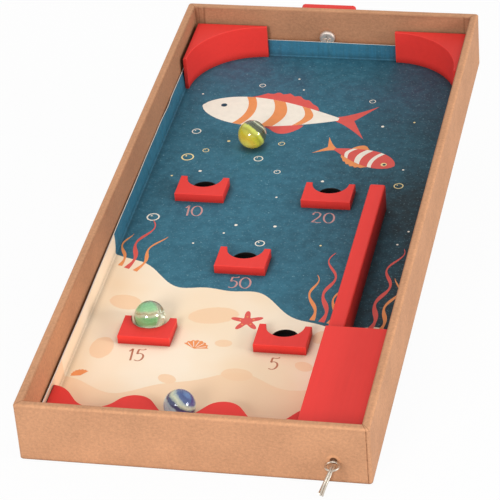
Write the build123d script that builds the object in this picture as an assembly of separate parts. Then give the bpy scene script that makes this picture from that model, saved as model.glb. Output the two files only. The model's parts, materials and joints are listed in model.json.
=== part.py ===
from build123d import *
import math
import os

"""A tabletop pinball game in a shallow tray.

The tray stands on its front lower edge and on a leg behind it, so the play field slopes.
Every piece is modelled in the tray's frame, in millimetres: X to the right, Y up the field,
Z out of the field, with the origin at the lower, front, left corner. The finished pieces
are then tilted together and set on the table.
"""

# Tray
tray_width = 172.0
tray_length = 390.0
tray_height = 33.0
wall_thick = 4.5
bottom_board_thick = 1.2
base_thick = 3.0
rim_round = 1.3
corner_round = 1.6
foot_edge_round = 1.0

# Printed card that lines the tray, folded up on all sides
card_thick = 0.5
card_side_gap = 1.2
card_back_gap = 2.4
flap_height = 11.0

# Glass marbles, and the clearance under one that rests on the card
marble_d = 16.0
marble_clear = 0.05
blue_marble_gap = 1.0
yellow_marble_x = 58.4
yellow_marble_y = 282.1

# Scoring cups: a block with a round notch that faces up the field, and a hole behind it
cup_width = 27.0
cup_depth = 17.8
cup_height = 5.0
cup_notch_r = 10.0
hole_r = 7.2
hole_from_cup_front = 13.4
left_column_x = 40.0
right_column_from_divider = 24.2
middle_column_shift = 1.0
field_front_row = 92.3
field_middle_row = 158.3
field_back_row = 223.8

# Curved blocks in the two back corners
deflector_arm = 41.5
deflector_edge = 2.0
deflector_height = 20.0

# Lane divider and plunger housing on the right
lane_width = 23.1
divider_width = 8.5
divider_height = 15.0
divider_end_y = 228.0
divider_round = 1.2
housing_height = 19.0
housing_end_y = 93.0

# Scalloped rail at the front
rail_height = 8.5
rail_first_crest_x = 5.0
rail_first_crest_y = 44.7
rail_first_crest_r = 13.4
rail_second_crest_x = 49.8
rail_second_crest_y = 40.8
rail_crest_r = 10.8
rail_pitch = 44.2
rail_drop = 0.4
rail_valley_r = 12.5
rail_flank_deg = 54.0

# Plunger: a wooden striker on a steel wire with an eye, and its spring
plunger_from_flap = 11.8
plunger_z = 13.0
plunger_travel = 25.0
wire_d = 1.1
wire_hole_d = 4.5
wire_hole_sink_d = 6.6
wire_in_striker = 25.0
eye_mean_r = 3.2
eye_wall_gap = 0.2
striker_d = 9.0
striker_show = 4.0
striker_flange_d = 12.0
striker_flange_len = 4.0
striker_run_clear = 0.4
flange_run_clear = 0.3
shoulder_from_housing_end = 37.0
bumper_thick = 2.0
bumper_clear = 0.3
spring_d = 10.0
spring_wire_d = 0.8
spring_turns = 14
spring_end_clear = 0.05
seat_washer_d = 11.5
seat_washer_thick = 0.8

# Split ring that hangs in the eye and leans on the table
ring_d = 16.0
ring_wire_d = 0.95
ring_pitch = 1.05
ring_turns = 2
ring_lean_deg = 20.0
ring_swing_deg = 33.0
ring_yaw_deg = -6.0
ring_eye_clear = 0.05
ring_lean_share = 1.6

# Leg behind the back wall, and the bolt that it turns on
leg_width = 32.0
leg_length = 89.8
leg_top_over_pivot = 16.2
leg_thick = 5.0
leg_corner_r = 2.0
leg_edge_round = 0.5
pivot_x = 83.1
pivot_z = 15.6
bolt_d = 4.0
bolt_hole_clear = 0.15
bolt_head_d = 9.2
bolt_head_h = 2.2
bolt_recess_w = 1.1
bolt_recess_len = 4.6
bolt_recess_deep = 1.1
bolt_end_show = 1.0
washer_d = 9.0
washer_thick = 0.8
nut_across_flats = 7.0
nut_thick = 3.2

# Small clearances and eased edges
glue_clear = 0.2
wood_ease = 0.4

# Heights and faces that several pieces share
field_z = base_thick + card_thick
card_left = wall_thick + card_side_gap
card_right = tray_width - wall_thick - card_side_gap
card_front = wall_thick + card_side_gap
card_back = tray_length - wall_thick - card_back_gap
flap_inner_left = card_left + card_thick
flap_inner_right = card_right - card_thick
flap_inner_front = card_front + card_thick
flap_inner_back = card_back - card_thick
flap_top = field_z + flap_height
marble_r = marble_d / 2
divider_x = flap_inner_right - lane_width - divider_width
plunger_x = flap_inner_right - plunger_from_flap
right_column_x = divider_x - right_column_from_divider
middle_column_x = (left_column_x + right_column_x) / 2 + middle_column_shift
housing_front_y = wall_thick
housing_right = flap_inner_right - glue_clear
shoulder_y = housing_end_y - shoulder_from_housing_end
seat_y = wall_thick + seat_washer_thick
flange_back_y = shoulder_y - bumper_thick
flange_front_y = flange_back_y - striker_flange_len
striker_tip_y = housing_end_y + striker_show
eye_y = -eye_wall_gap - wire_d / 2 - eye_mean_r
ring_mean_r = (ring_d - ring_wire_d) / 2
leg_front_y = tray_length + washer_thick
leg_back_y = leg_front_y + leg_thick
leg_foot_z = pivot_z + leg_top_over_pivot - leg_length

LOW = (Align.MIN, Align.MIN, Align.MIN)


def block(x0, x1, y0, y1, z0, z1):
    """A plain box between two corners."""
    return Pos(x0, y0, z0) * Box(x1 - x0, y1 - y0, z1 - z0, align=LOW)


def rod_along_y(x, z, y0, y1, diameter):
    """A round bar that runs up the field."""
    return Pos(x, (y0 + y1) / 2, z) * Rot(X=90) * Cylinder(diameter / 2, y1 - y0)


def eased(solid, size):
    """The solid with its upper edges rounded over."""
    top = solid.bounding_box().max.Z
    edges = solid.edges().filter_by(lambda e: e.center().Z > top - 1e-3)
    return fillet(edges, size)


def whole_tray():
    """The tray as one shell, with its rim and outer corners rounded."""
    outer = block(0, tray_width, 0, tray_length, 0, tray_height)
    outer = fillet(outer.edges().filter_by(Axis.Z), corner_round)
    outer = fillet(outer.edges().group_by(Axis.Z)[0], foot_edge_round)
    inner = block(wall_thick, tray_width - wall_thick, wall_thick, tray_length - wall_thick,
                  base_thick, tray_height + 1)
    tray = outer - inner
    return fillet(tray.edges().group_by(Axis.Z)[-1], rim_round)


def tray_boards():
    """The base board, the drilled deck board on it and the four wall boards."""
    tray = whole_tray()
    far = tray_length
    wide = tray_width
    high = tray_height
    front = tray & block(0, wide, 0, wall_thick, 0, high)
    front -= rod_along_y(plunger_x, plunger_z, -1, wall_thick + 1, wire_hole_d)
    sink = (wire_hole_sink_d - wire_hole_d) / 2
    cone = Cone(wire_hole_d / 2, wire_hole_sink_d / 2, sink)
    front -= Pos(plunger_x, sink / 2, plunger_z) * Rot(X=90) * cone
    back = tray & block(0, wide, far - wall_thick, far, 0, high)
    bolt_hole = bolt_d + 2 * bolt_hole_clear
    back -= rod_along_y(pivot_x, pivot_z, far - wall_thick - 1, far + 1, bolt_hole)
    left = tray & block(0, wall_thick, wall_thick, far - wall_thick, 0, high)
    right = tray & block(wide - wall_thick, wide, wall_thick, far - wall_thick, 0, high)
    seam = bottom_board_thick
    base = block(wall_thick, wide - wall_thick, wall_thick, far - wall_thick, 0, seam)
    deck = block(wall_thick, wide - wall_thick, wall_thick, far - wall_thick, seam, base_thick)
    for x, y in cup_places().values():
        deck -= Pos(x, y + hole_from_cup_front, 0) * Cylinder(hole_r, 3 * base_thick)
    return {"front_wall": front, "back_wall": back, "left_wall": left,
            "right_wall": right, "base_board": base, "deck_board": deck}


def cup_places():
    """The middle of each cup's front face, by the number printed beside it."""
    return {
        "cup_15": (left_column_x, field_front_row),
        "cup_5": (right_column_x, field_front_row),
        "cup_50": (middle_column_x, field_middle_row),
        "cup_10": (left_column_x, field_back_row),
        "cup_20": (right_column_x, field_back_row),
    }


def print_card():
    """The folded card. Its front flap stops at the plunger housing."""
    card = block(card_left, card_right, card_front, card_back, base_thick, field_z)
    card += block(card_left, flap_inner_left, card_front, card_back, base_thick, flap_top)
    card += block(flap_inner_right, card_right, card_front, card_back, base_thick, flap_top)
    card += block(card_left, card_right, flap_inner_back, card_back, base_thick, flap_top)
    front_flap_end = divider_x - glue_clear
    card += block(card_left, front_flap_end, card_front, flap_inner_front, base_thick, flap_top)
    for x, y in cup_places().values():
        card -= Pos(x, y + hole_from_cup_front, field_z) * Cylinder(hole_r, 4 * card_thick)
    return card


def cup(x, y):
    """A block with a half-round notch in its back, eased on top."""
    body = block(x - cup_width / 2, x + cup_width / 2, y, y + cup_depth,
                 field_z, field_z + cup_height)
    body -= Pos(x, y + cup_depth, field_z) * Cylinder(cup_notch_r, 3 * cup_height)
    return eased(body, wood_ease)


def corner_deflector():
    """A block whose hollow face turns a marble round the corner, for the left corner."""
    arm = deflector_arm
    edge = deflector_edge
    reach = arm - edge
    bend = reach * (1 - math.sqrt(0.5)) + edge
    outline = Polyline((edge, -arm), (0, -arm), (0, 0), (arm, 0), (arm, -edge))
    hollow = ThreePointArc((arm, -edge), (bend, -bend), (edge, -arm))
    plan = make_face([outline, hollow])
    body = extrude(plan, deflector_height)
    corner = Pos(flap_inner_left + glue_clear, flap_inner_back - glue_clear, field_z)
    return eased(corner * body, wood_ease)


def lane_divider():
    """The bar between the play field and the launching lane."""
    body = block(divider_x, divider_x + divider_width, housing_end_y, divider_end_y,
                 field_z, field_z + divider_height)
    top = body.edges().filter_by(lambda e: e.center().Z > field_z + divider_height - 1e-3)
    far = body.edges().filter_by(lambda e: e.center().Y > divider_end_y - 1e-3)
    edges = top.filter_by(lambda e: e.center().Y > housing_end_y + 1) + far.filter_by(Axis.Z)
    return fillet(edges, divider_round)


def plunger_housing():
    """The block that the striker slides in, bored in two steps from its front."""
    body = block(divider_x, housing_right, housing_front_y, housing_end_y,
                 field_z, field_z + housing_height)
    body = eased(body, wood_ease)
    spring_bore = striker_flange_d + 2 * flange_run_clear
    striker_bore = striker_d + 2 * striker_run_clear
    body -= rod_along_y(plunger_x, plunger_z, housing_front_y - 1, shoulder_y, spring_bore)
    body -= rod_along_y(plunger_x, plunger_z, shoulder_y - 1, housing_end_y + 1, striker_bore)
    return body


def rail_crest(i):
    """The top of a crest and its radius. The first one, at the left flap, is larger."""
    if i == 0:
        return rail_first_crest_x, rail_first_crest_y, rail_first_crest_r
    x = rail_second_crest_x + (i - 1) * rail_pitch
    return x, rail_second_crest_y - (i - 1) * rail_drop, rail_crest_r


def rail_valley(i):
    """The bottom of the valley after a crest, between flanks of one slope."""
    slope = math.radians(rail_flank_deg)
    x0, y0, r0 = rail_crest(i)
    x1, y1, r1 = rail_crest(i + 1)
    x0 += r0 * math.sin(slope)
    x1 -= r1 * math.sin(slope)
    y0 -= r0 * (1 - math.cos(slope))
    y1 -= r1 * (1 - math.cos(slope))
    half = rail_valley_r * math.sin(slope)
    flank = (x1 - x0 - 2 * half + (y0 - y1) / math.tan(slope)) / 2
    low = y0 - flank * math.tan(slope) - rail_valley_r * (1 - math.cos(slope))
    return x0 + flank + half, low


def rail_outline():
    """The rail's wavy back edge: round crests and valleys joined by straight flanks."""
    slope = math.radians(rail_flank_deg)
    crests = math.ceil((divider_x - rail_second_crest_x) / rail_pitch) + 2
    valley_dx = rail_valley_r * math.sin(slope)
    valley_dy = rail_valley_r * (1 - math.cos(slope))
    edges = []
    for i in range(crests):
        x, y, r = rail_crest(i)
        dx = r * math.sin(slope)
        dy = r * (1 - math.cos(slope))
        left = (x - dx, y - dy)
        right = (x + dx, y - dy)
        if i > 0:
            edges.append(Line(up, left))
        edges.append(ThreePointArc(left, (x, y), right))
        if i + 1 < crests:
            v, low = rail_valley(i)
            down = (v - valley_dx, low + valley_dy)
            up = (v + valley_dx, low + valley_dy)
            edges.append(Line(right, down))
            edges.append(ThreePointArc(down, (v, low), up))
    return edges


def scalloped_rail():
    """The rail that stops the marbles at the foot of the field."""
    edges = rail_outline()
    start = edges[0] @ 0
    end = edges[-1] @ 1
    y0 = flap_inner_front + glue_clear
    rest = Polyline((end.X, end.Y), (end.X, y0), (start.X, y0), (start.X, start.Y))
    body = extrude(make_face(edges + [rest]), rail_height)
    x0 = flap_inner_left + glue_clear
    x1 = divider_x - glue_clear
    body = Pos(Z=field_z) * body & block(x0, x1, y0, rail_first_crest_y + 1, field_z,
                                         field_z + rail_height)
    return eased(body, wood_ease)


def arc_pair(p0, t0, p1, t1):
    """Two arcs, tangent to each other, from p0 along t0 to p1 along t1."""
    v = p1 - p0
    t = t0 + t1
    a = 2 * (t0.dot(t1) - 1)
    b = v.dot(t)
    d = (b - math.sqrt(b * b - a * v.dot(v))) / a
    q0 = p0 + t0 * d
    q1 = p1 - t1 * d
    middle = (q0 + q1) * 0.5
    first = Edge.make_tangent_arc(p0, t0, middle)
    second = Edge.make_tangent_arc(middle, (q1 - q0).normalized(), p1)
    return [first, second]


def coil(radius, pitch, turns, wire, name):
    """A round wire wound about Z from z=0, in half turns of two arcs each."""
    steps = 2 * turns
    edges = []
    rise = pitch / (2 * math.pi)
    span = math.hypot(radius, rise)

    def at(angle):
        place = Vector(radius * math.cos(angle), radius * math.sin(angle), rise * angle)
        way = Vector(-radius * math.sin(angle), radius * math.cos(angle), rise) * (1 / span)
        return place, way

    for i in range(steps):
        p0, t0 = at(i * math.pi)
        p1, t1 = at((i + 1) * math.pi)
        edges += arc_pair(p0, t0, p1, t1)
    path = Wire(edges)
    start, way = at(0)
    section = Plane(origin=start, z_dir=way) * Circle(wire / 2)
    body = sweep(section, path=path)
    expected = math.pi * wire * wire / 4 * path.length
    print(name, "least gap", round(pitch - wire, 2), "volume ratio", round(body.volume / expected, 4))
    return body


def plunger_spring():
    """The compression spring between its seat washer and the striker's flange."""
    y0 = seat_y + spring_wire_d / 2 + spring_end_clear
    y1 = flange_front_y - spring_wire_d / 2 - spring_end_clear
    radius = (spring_d - spring_wire_d) / 2
    body = coil(radius, (y1 - y0) / spring_turns, spring_turns, spring_wire_d, "spring")
    return Pos(plunger_x, y0, plunger_z) * Rot(X=-90) * body


def spring_seat_washer():
    """The washer that the spring pushes against, on the front wall's inner face."""
    body = rod_along_y(plunger_x, plunger_z, wall_thick, seat_y, seat_washer_d)
    hole = wire_d + 2 * bumper_clear
    return body - rod_along_y(plunger_x, plunger_z, wall_thick - 1, seat_y + 1, hole)


def striker():
    """The wooden rod that hits the marble, with a flange that the spring pushes."""
    body = rod_along_y(plunger_x, plunger_z, flange_front_y, striker_tip_y, striker_d)
    tip = body.edges().group_by(Axis.Y)[-1]
    body = fillet(tip, wood_ease * 2)
    body += rod_along_y(plunger_x, plunger_z, flange_front_y, flange_back_y, striker_flange_d)
    wire_end = flange_front_y + wire_in_striker
    return body - rod_along_y(plunger_x, plunger_z, flange_front_y - 1, wire_end, wire_d)


def striker_bumper():
    """The felt ring that softens the stop."""
    hole = striker_d + 2 * bumper_clear
    body = rod_along_y(plunger_x, plunger_z, flange_back_y, shoulder_y, striker_flange_d)
    return body - rod_along_y(plunger_x, plunger_z, flange_back_y - 1, shoulder_y + 1, hole)


def plunger_wire():
    """The steel wire that pulls the striker, with a flat eye outside the front wall."""
    y0 = eye_y + eye_mean_r
    rod = rod_along_y(plunger_x, plunger_z, y0, flange_front_y + wire_in_striker, wire_d)
    eye = Pos(plunger_x, eye_y, plunger_z) * Torus(eye_mean_r, wire_d / 2)
    return rod + eye


def ring_hang_point():
    """The middle of the eye's front stretch, which the ring turns on."""
    return Vector(plunger_x, eye_y - eye_mean_r, plunger_z)


def split_ring():
    """The two-turn ring. Its plane leans to the left as it hangs, and is turned by the yaw."""
    lean = math.radians(ring_lean_deg)
    swing = math.radians(ring_swing_deg)
    down = Vector(-math.sin(lean), 0, -math.cos(lean))
    normal = Vector(math.cos(lean), 0, -math.sin(lean))
    hang = down * math.cos(swing) + Vector(0, -1, 0) * math.sin(swing)
    normal = normal.rotate(Axis.Z, ring_yaw_deg)
    hang = hang.rotate(Axis.Z, ring_yaw_deg)
    touch = ring_mean_r - ring_wire_d / 2 - wire_d / 2
    reach = touch - ring_eye_clear - ring_pitch * ring_lean_share
    middle = ring_hang_point() + hang * reach
    start = middle - normal * (ring_pitch * ring_turns / 2)
    body = coil(ring_mean_r, ring_pitch, ring_turns, ring_wire_d, "ring")
    return Plane(origin=start, x_dir=hang, z_dir=normal) * body


def marble(x, y, z):
    """A glass marble about its centre."""
    return Pos(x, y, z) * Sphere(marble_r)


def marble_places():
    """The centres of the three marbles: two on the card, one in the cup marked 15."""
    resting = field_z + marble_r + marble_clear
    x, front = cup_places()["cup_15"]
    y = front + cup_depth - cup_notch_r + marble_r + 2 * marble_clear
    beside = abs(y - front - hole_from_cup_front)
    sunk = math.sqrt(marble_r ** 2 - (hole_r - beside) ** 2)
    valley_x, valley_y = rail_valley(1)
    return {
        "blue_marble": (valley_x, valley_y + marble_r + blue_marble_gap, resting),
        "yellow_marble": (yellow_marble_x, yellow_marble_y, resting),
        "green_marble": (x, y, field_z + sunk + 2 * marble_clear),
    }


def back_leg():
    """The leg, upright behind the back wall, with its bolt hole near the top."""
    body = block(pivot_x - leg_width / 2, pivot_x + leg_width / 2, leg_front_y, leg_back_y,
                 leg_foot_z, leg_foot_z + leg_length)
    body = fillet(body.edges().filter_by(Axis.Y), leg_corner_r)
    faces = body.faces().filter_by(Axis.Y)
    body = fillet(faces.edges(), leg_edge_round)
    hole = bolt_d + 2 * bolt_hole_clear
    return body - rod_along_y(pivot_x, pivot_z, leg_front_y - 1, leg_back_y + 1, hole)


def bolt_washer(y0):
    """A washer on the pivot bolt."""
    hole = bolt_d + 2 * bolt_hole_clear
    body = rod_along_y(pivot_x, pivot_z, y0, y0 + washer_thick, washer_d)
    return body - rod_along_y(pivot_x, pivot_z, y0 - 1, y0 + washer_thick + 1, hole)


def pivot_bolt():
    """The bolt, with a low round head inside the tray and a cross recess in it."""
    seat = tray_length - wall_thick
    end = leg_back_y + washer_thick + nut_thick + bolt_end_show
    head = rod_along_y(pivot_x, pivot_z, seat - bolt_head_h, seat, bolt_head_d)
    head = fillet(head.edges().group_by(Axis.Y)[0], bolt_head_h * 0.6)
    face = seat - bolt_head_h
    half = bolt_recess_len / 2
    thin = bolt_recess_w / 2
    deep = face + bolt_recess_deep
    head -= block(pivot_x - half, pivot_x + half, face - 1, deep, pivot_z - thin, pivot_z + thin)
    head -= block(pivot_x - thin, pivot_x + thin, face - 1, deep, pivot_z - half, pivot_z + half)
    return head + rod_along_y(pivot_x, pivot_z, seat, end, bolt_d)


def pivot_nut():
    """The hexagon nut on the bolt's outer end."""
    y0 = leg_back_y + washer_thick
    hexagon = RegularPolygon(nut_across_flats / math.sqrt(3), 6)
    body = extrude(hexagon, nut_thick)
    body = Pos(pivot_x, y0, pivot_z) * Rot(X=-90) * body
    return body - rod_along_y(pivot_x, pivot_z, y0 - 1, y0 + nut_thick + 1, bolt_d)


def tilt_angle():
    """The slope, in degrees, at which the front edge and the leg's foot both touch down."""
    dy = leg_front_y + leg_edge_round - foot_edge_round
    dz = leg_foot_z + leg_edge_round - foot_edge_round
    reach = math.hypot(dy, dz)
    lift = math.asin((leg_edge_round - foot_edge_round) / reach)
    return math.degrees(lift - math.atan2(dz, dy))


def all_pieces():
    """Every piece in the tray's frame, by name."""
    pieces = tray_boards()
    pieces["print_card"] = print_card()
    left = corner_deflector()
    pieces["left_deflector"] = left
    across = Plane.YZ.offset(tray_width / 2)
    pieces["right_deflector"] = mirror(left, about=across)
    for name, (x, y) in cup_places().items():
        pieces[name] = cup(x, y)
    pieces["lane_divider"] = lane_divider()
    pieces["plunger_housing"] = plunger_housing()
    pieces["scalloped_rail"] = scalloped_rail()
    pieces["striker"] = striker()
    pieces["striker_bumper"] = striker_bumper()
    pieces["plunger_wire"] = plunger_wire()
    pieces["plunger_spring"] = plunger_spring()
    pieces["spring_seat_washer"] = spring_seat_washer()
    pieces["split_ring"] = split_ring()
    for name, place in marble_places().items():
        pieces[name] = marble(*place)
    pieces["back_leg"] = back_leg()
    pieces["pivot_bolt"] = pivot_bolt()
    pieces["inner_washer"] = bolt_washer(tray_length)
    pieces["outer_washer"] = bolt_washer(leg_back_y)
    pieces["pivot_nut"] = pivot_nut()
    return pieces


def stand(pieces):
    """Where the tray's frame lies once it is tilted and centred on the table."""
    tilt = Rot(X=tilt_angle())
    low = [1e9, 1e9, 1e9]
    high = [-1e9, -1e9, -1e9]
    for solid in pieces.values():
        box = (tilt * solid).bounding_box()
        low = [min(low[0], box.min.X), min(low[1], box.min.Y), min(low[2], box.min.Z)]
        high = [max(high[0], box.max.X), max(high[1], box.max.Y), max(high[2], box.max.Z)]
    return Pos(-(low[0] + high[0]) / 2, -(low[1] + high[1]) / 2, -low[2]) * tilt


pieces = all_pieces()
standing = stand(pieces)
os.makedirs("parts", exist_ok=True)
for name, solid in pieces.items():
    export_step(standing * solid, "parts/" + name + ".step")
print("tilt", round(tilt_angle(), 3), "frame", standing)
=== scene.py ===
"""Dresses a tabletop pinball game for a studio picture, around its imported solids.

Sizes in here are in millimetres in the tray's own frame: X to the right, Y up the field, Z out
of the field, from the tray's lower, front, left corner. place() turns them into the scene's
metres, with the tray tilted on its leg.
"""

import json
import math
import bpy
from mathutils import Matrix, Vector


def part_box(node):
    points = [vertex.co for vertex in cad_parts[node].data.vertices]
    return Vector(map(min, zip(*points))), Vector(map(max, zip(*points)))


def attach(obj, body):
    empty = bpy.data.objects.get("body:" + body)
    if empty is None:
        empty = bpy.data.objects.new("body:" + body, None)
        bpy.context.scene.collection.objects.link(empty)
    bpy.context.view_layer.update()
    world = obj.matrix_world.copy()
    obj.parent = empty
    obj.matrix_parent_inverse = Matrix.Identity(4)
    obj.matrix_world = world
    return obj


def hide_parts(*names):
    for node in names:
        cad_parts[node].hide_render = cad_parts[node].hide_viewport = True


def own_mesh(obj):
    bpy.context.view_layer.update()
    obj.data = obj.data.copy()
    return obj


bl_info = {
    "name": "Tabletop Pinball Game",
    "version": (1, 0, 0),
    "blender": (4, 5, 0),
    "location": "3D View > Sidebar > Pinball",
    "description": "Paper, paint, print, glass and metal for a tabletop pinball game",
    "category": "Add Mesh",
}

import bpy
import numpy as np
from mathutils import Matrix, Vector
from mathutils.geometry import tessellate_polygon

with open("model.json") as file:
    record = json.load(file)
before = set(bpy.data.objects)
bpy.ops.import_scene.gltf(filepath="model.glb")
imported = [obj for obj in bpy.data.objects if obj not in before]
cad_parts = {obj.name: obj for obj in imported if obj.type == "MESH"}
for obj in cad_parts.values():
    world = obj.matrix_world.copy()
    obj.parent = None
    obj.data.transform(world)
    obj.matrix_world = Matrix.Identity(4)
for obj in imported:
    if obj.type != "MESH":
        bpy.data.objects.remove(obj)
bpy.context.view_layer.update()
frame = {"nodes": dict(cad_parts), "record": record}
NODES = frame["nodes"]

# Tray: its size, its walls, their outer corners, and the rounds of their rim and foot
WIDTH = 172.0
LENGTH = 390.0
HEIGHT = 33.0
WALL = 4.5
CORNER = 1.6
RIM = 1.3
FOOT = 1.0

# Card in the tray: its thickness, its top, its gaps to the walls, its folds and where the
# left one curls in, the field inside them, and the cup holes
CARD = 0.5
FIELD = 3.5
CARD_GAP = 1.2
CARD_BACK_GAP = 2.4
FLAP_TOP = 14.5
FOLD = 0.9
CURL_Y = 302.0
INNER_LEFT = WALL + CARD_GAP + CARD
INNER_RIGHT = WIDTH - INNER_LEFT
INNER_FRONT = WALL + CARD_GAP + CARD
INNER_BACK = LENGTH - WALL - CARD_BACK_GAP - CARD
HOLE_R = 7.2
HOLE_BEHIND_FRONT = 13.4
DIVIDER_X = 134.2

# Cups: the middle of each front face
CUPS = {"15": (40.0, 92.3), "5": (110.0, 92.3), "50": (76.0, 158.3),
        "10": (40.0, 223.8), "20": (110.0, 223.8)}

# Plunger wire: its middle, and the hole in the paper at its narrow end and at the front
WIRE_X = 154.0
WIRE_Z = 13.0
WIRE_HOLE = 3.0
WIRE_SINK = 4.2

# The spring between its washer and the striker's flange, its steps in a turn and its sides
SPRING_R = 4.6
SPRING_WIRE = 0.8
SPRING_TURNS = 14
SPRING_STEPS = 28
SPRING_SIDES = 10
SEAT_Y = WALL + 0.8
FLANGE_Y = 50.0

MARBLE_R = 8.0

RED_NODES = ("left_deflector", "right_deflector", "cup_10", "cup_20", "cup_50", "cup_15",
             "cup_5", "lane_divider", "plunger_housing", "scalloped_rail", "back_leg")
WALL_NODES = ("front_wall", "back_wall", "left_wall", "right_wall")


def tray_frame():
    """The turn and the shift, in metres, from the tray's frame to the scene."""
    seat = frame["record"]["mounts"][0]
    slope = math.atan2(seat["axis"][1], -seat["axis"][2])
    turn = np.array(Matrix.Rotation(slope, 3, "X"))
    middle = np.array([WIDTH / 2, LENGTH / 2, 0]) / 1000
    return slope, turn, np.array(seat["pos_m"]) - turn @ middle


SLOPE, TURN, SHIFT = tray_frame()


def place(points):
    """Tray millimetres to scene metres: turn each point by the slope, then shift it."""
    return np.asarray(points, float).reshape(-1, 3) / 1000 @ TURN.T + SHIFT


def linear(red, green, blue):
    """A colour of 0 to 255 as linear light."""
    c = np.array([red, green, blue]) / 255
    return tuple(np.where(c <= 0.04045, c / 12.92, ((c + 0.055) / 1.055) ** 2.4))


# ---- meshes ----


def grid_faces(rows, columns, close_rows=False, close_columns=False):
    """Quads of a grid of rows by columns, whose points run along a row first."""
    r = np.arange(rows if close_rows else rows - 1)[:, None]
    c = np.arange(columns if close_columns else columns - 1)[None, :]
    r2 = (r + 1) % rows
    c2 = (c + 1) % columns
    quads = [r * columns + c, r * columns + c2, r2 * columns + c2, r2 * columns + c]
    return np.stack(quads, -1).reshape(-1, 4)


def tube_faces(rows, columns):
    """Faces of a tube made of rings, with a cap on each end."""
    faces = grid_faces(rows, columns, False, True).tolist()
    last = (rows - 1) * columns
    return faces + [list(range(columns))[::-1], list(range(last, last + columns))]


def add_object(name, data):
    """A new object in the scene."""
    made = bpy.data.objects.new(name, data)
    bpy.context.scene.collection.objects.link(made)
    return made


def make_piece(name, points, faces, materials, slot, body="tray", which=None, smooth=True,
               uv=None, merge=0.0):
    """A piece from tray points and faces. which gives each face's material, uv each corner's."""
    mesh = bpy.data.meshes.new(name)
    mesh.from_pydata(place(points).tolist(), [], [tuple(int(i) for i in f) for f in faces])
    for material in materials:
        mesh.materials.append(material)
    if which is not None:
        mesh.polygons.foreach_set("material_index", np.asarray(which, np.int32))
    if uv is not None:
        layer = mesh.uv_layers.new(name="card")
        loops = np.zeros(len(mesh.loops), np.int32)
        mesh.loops.foreach_get("vertex_index", loops)
        layer.data.foreach_set("uv", np.asarray(uv, np.float32)[loops].ravel())
    mesh.polygons.foreach_set("use_smooth", [smooth] * len(mesh.polygons))
    piece = add_object(name, mesh)
    if merge:
        weld = piece.modifiers.new("weld", "WELD")
        weld.merge_threshold = merge
    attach(piece, body)
    mesh.validate()
    mesh.update()
    return piece


def mark_sharp(piece, degrees):
    """Marks the edges that are sharper than this, so the shading breaks there."""
    piece.data.set_sharp_from_angle(angle=math.radians(degrees))


def bake_modifiers(piece):
    """Replaces the piece's mesh by what its modifiers make of it."""
    graph = bpy.context.evaluated_depsgraph_get()
    made = bpy.data.meshes.new_from_object(piece.evaluated_get(graph))
    piece.modifiers.clear()
    old = piece.data
    piece.data = made
    made.name = piece.name
    bpy.data.meshes.remove(old)


# ---- shader helpers ----


class Value:
    """A socket of a node tree. Its sums and products are made of Math nodes."""

    def __init__(self, nodes, socket):
        self.nodes = nodes
        self.socket = socket

    def __add__(self, other):
        return self.nodes.math("ADD", self, other)

    def __sub__(self, other):
        return self.nodes.math("SUBTRACT", self, other)

    def __rsub__(self, other):
        return self.nodes.math("SUBTRACT", other, self)

    def __mul__(self, other):
        return self.nodes.math("MULTIPLY", self, other)

    def __truediv__(self, other):
        return self.nodes.math("DIVIDE", self, other)

    def __abs__(self):
        return self.nodes.math("ABSOLUTE", self)

    __radd__ = __add__
    __rmul__ = __mul__


class Nodes:
    """A short way to add and join the nodes of one tree."""

    def __init__(self, tree):
        self.tree = tree

    def add(self, kind, inputs=None, **settings):
        """A shader node with its settings, and its inputs by name or number."""
        node = self.tree.nodes.new("ShaderNode" + kind)
        for key, value in settings.items():
            setattr(node, key, value)
        for key, value in (inputs or {}).items():
            self.put(node.inputs[key], value)
        return node

    def put(self, socket, value):
        """Joins a socket to another, or gives it a value."""
        value = getattr(value, "socket", value)
        if isinstance(value, bpy.types.NodeSocket):
            self.tree.links.new(value, socket)
        elif hasattr(socket.default_value, "__len__") and not hasattr(value, "__len__"):
            socket.default_value = [value] * len(socket.default_value)
        elif hasattr(value, "__len__") and len(value) < len(socket.default_value):
            socket.default_value = (*value, 1.0)
        else:
            socket.default_value = value

    def feed(self, node, **values):
        """Gives a node's inputs their values, where a name's _ stands for a space."""
        for key, value in values.items():
            self.put(node.inputs[key.replace("_", " ")], value)

    def math(self, how, *values, clamp=False):
        node = self.add("Math", dict(enumerate(values)), operation=how, use_clamp=clamp)
        return Value(self, node.outputs[0])

    def vector(self, how, *values):
        """A Vector Math node's vector, or its number where it makes one."""
        node = self.add("VectorMath", dict(enumerate(values)), operation=how)
        return Value(self, node.outputs["Value" if how in ("DOT_PRODUCT", "LENGTH") else "Vector"])

    def split(self, vector):
        """The three parts of a vector."""
        return [Value(self, s) for s in self.add("SeparateXYZ", {0: vector}).outputs]

    def mix(self, share, a, b, blend="MIX"):
        node = self.add("Mix", data_type="RGBA", blend_type=blend)
        for number, value in ((0, share), (6, a), (7, b)):
            self.put(node.inputs[number], value)
        return node.outputs[2]

    def tint(self, colour, by):
        """A colour multiplied by another one or by a number."""
        return self.mix(1.0, colour, by, "MULTIPLY")

    def noise(self, vector, scale, detail=2.0, roughness=0.5, stretch=None):
        if stretch is not None:
            vector = self.add("Mapping", {"Vector": vector, "Scale": stretch}).outputs[0]
        node = self.add("TexNoise", {"Vector": vector, "Scale": scale, "Detail": detail,
                                     "Roughness": roughness})
        return Value(self, node.outputs["Fac"])

    def ramp(self, value, low, high):
        """0 below low, 1 above high, and a straight line between."""
        node = self.add("MapRange", {"Value": value, "From Min": low, "From Max": high})
        return Value(self, node.outputs[0])

    def group(self, name, **values):
        """The outputs, by name, of one of this file's groups with these inputs."""
        node = self.add("Group", node_tree=shared(name))
        self.feed(node, **values)
        return {socket.name: Value(self, socket) for socket in node.outputs}


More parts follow.
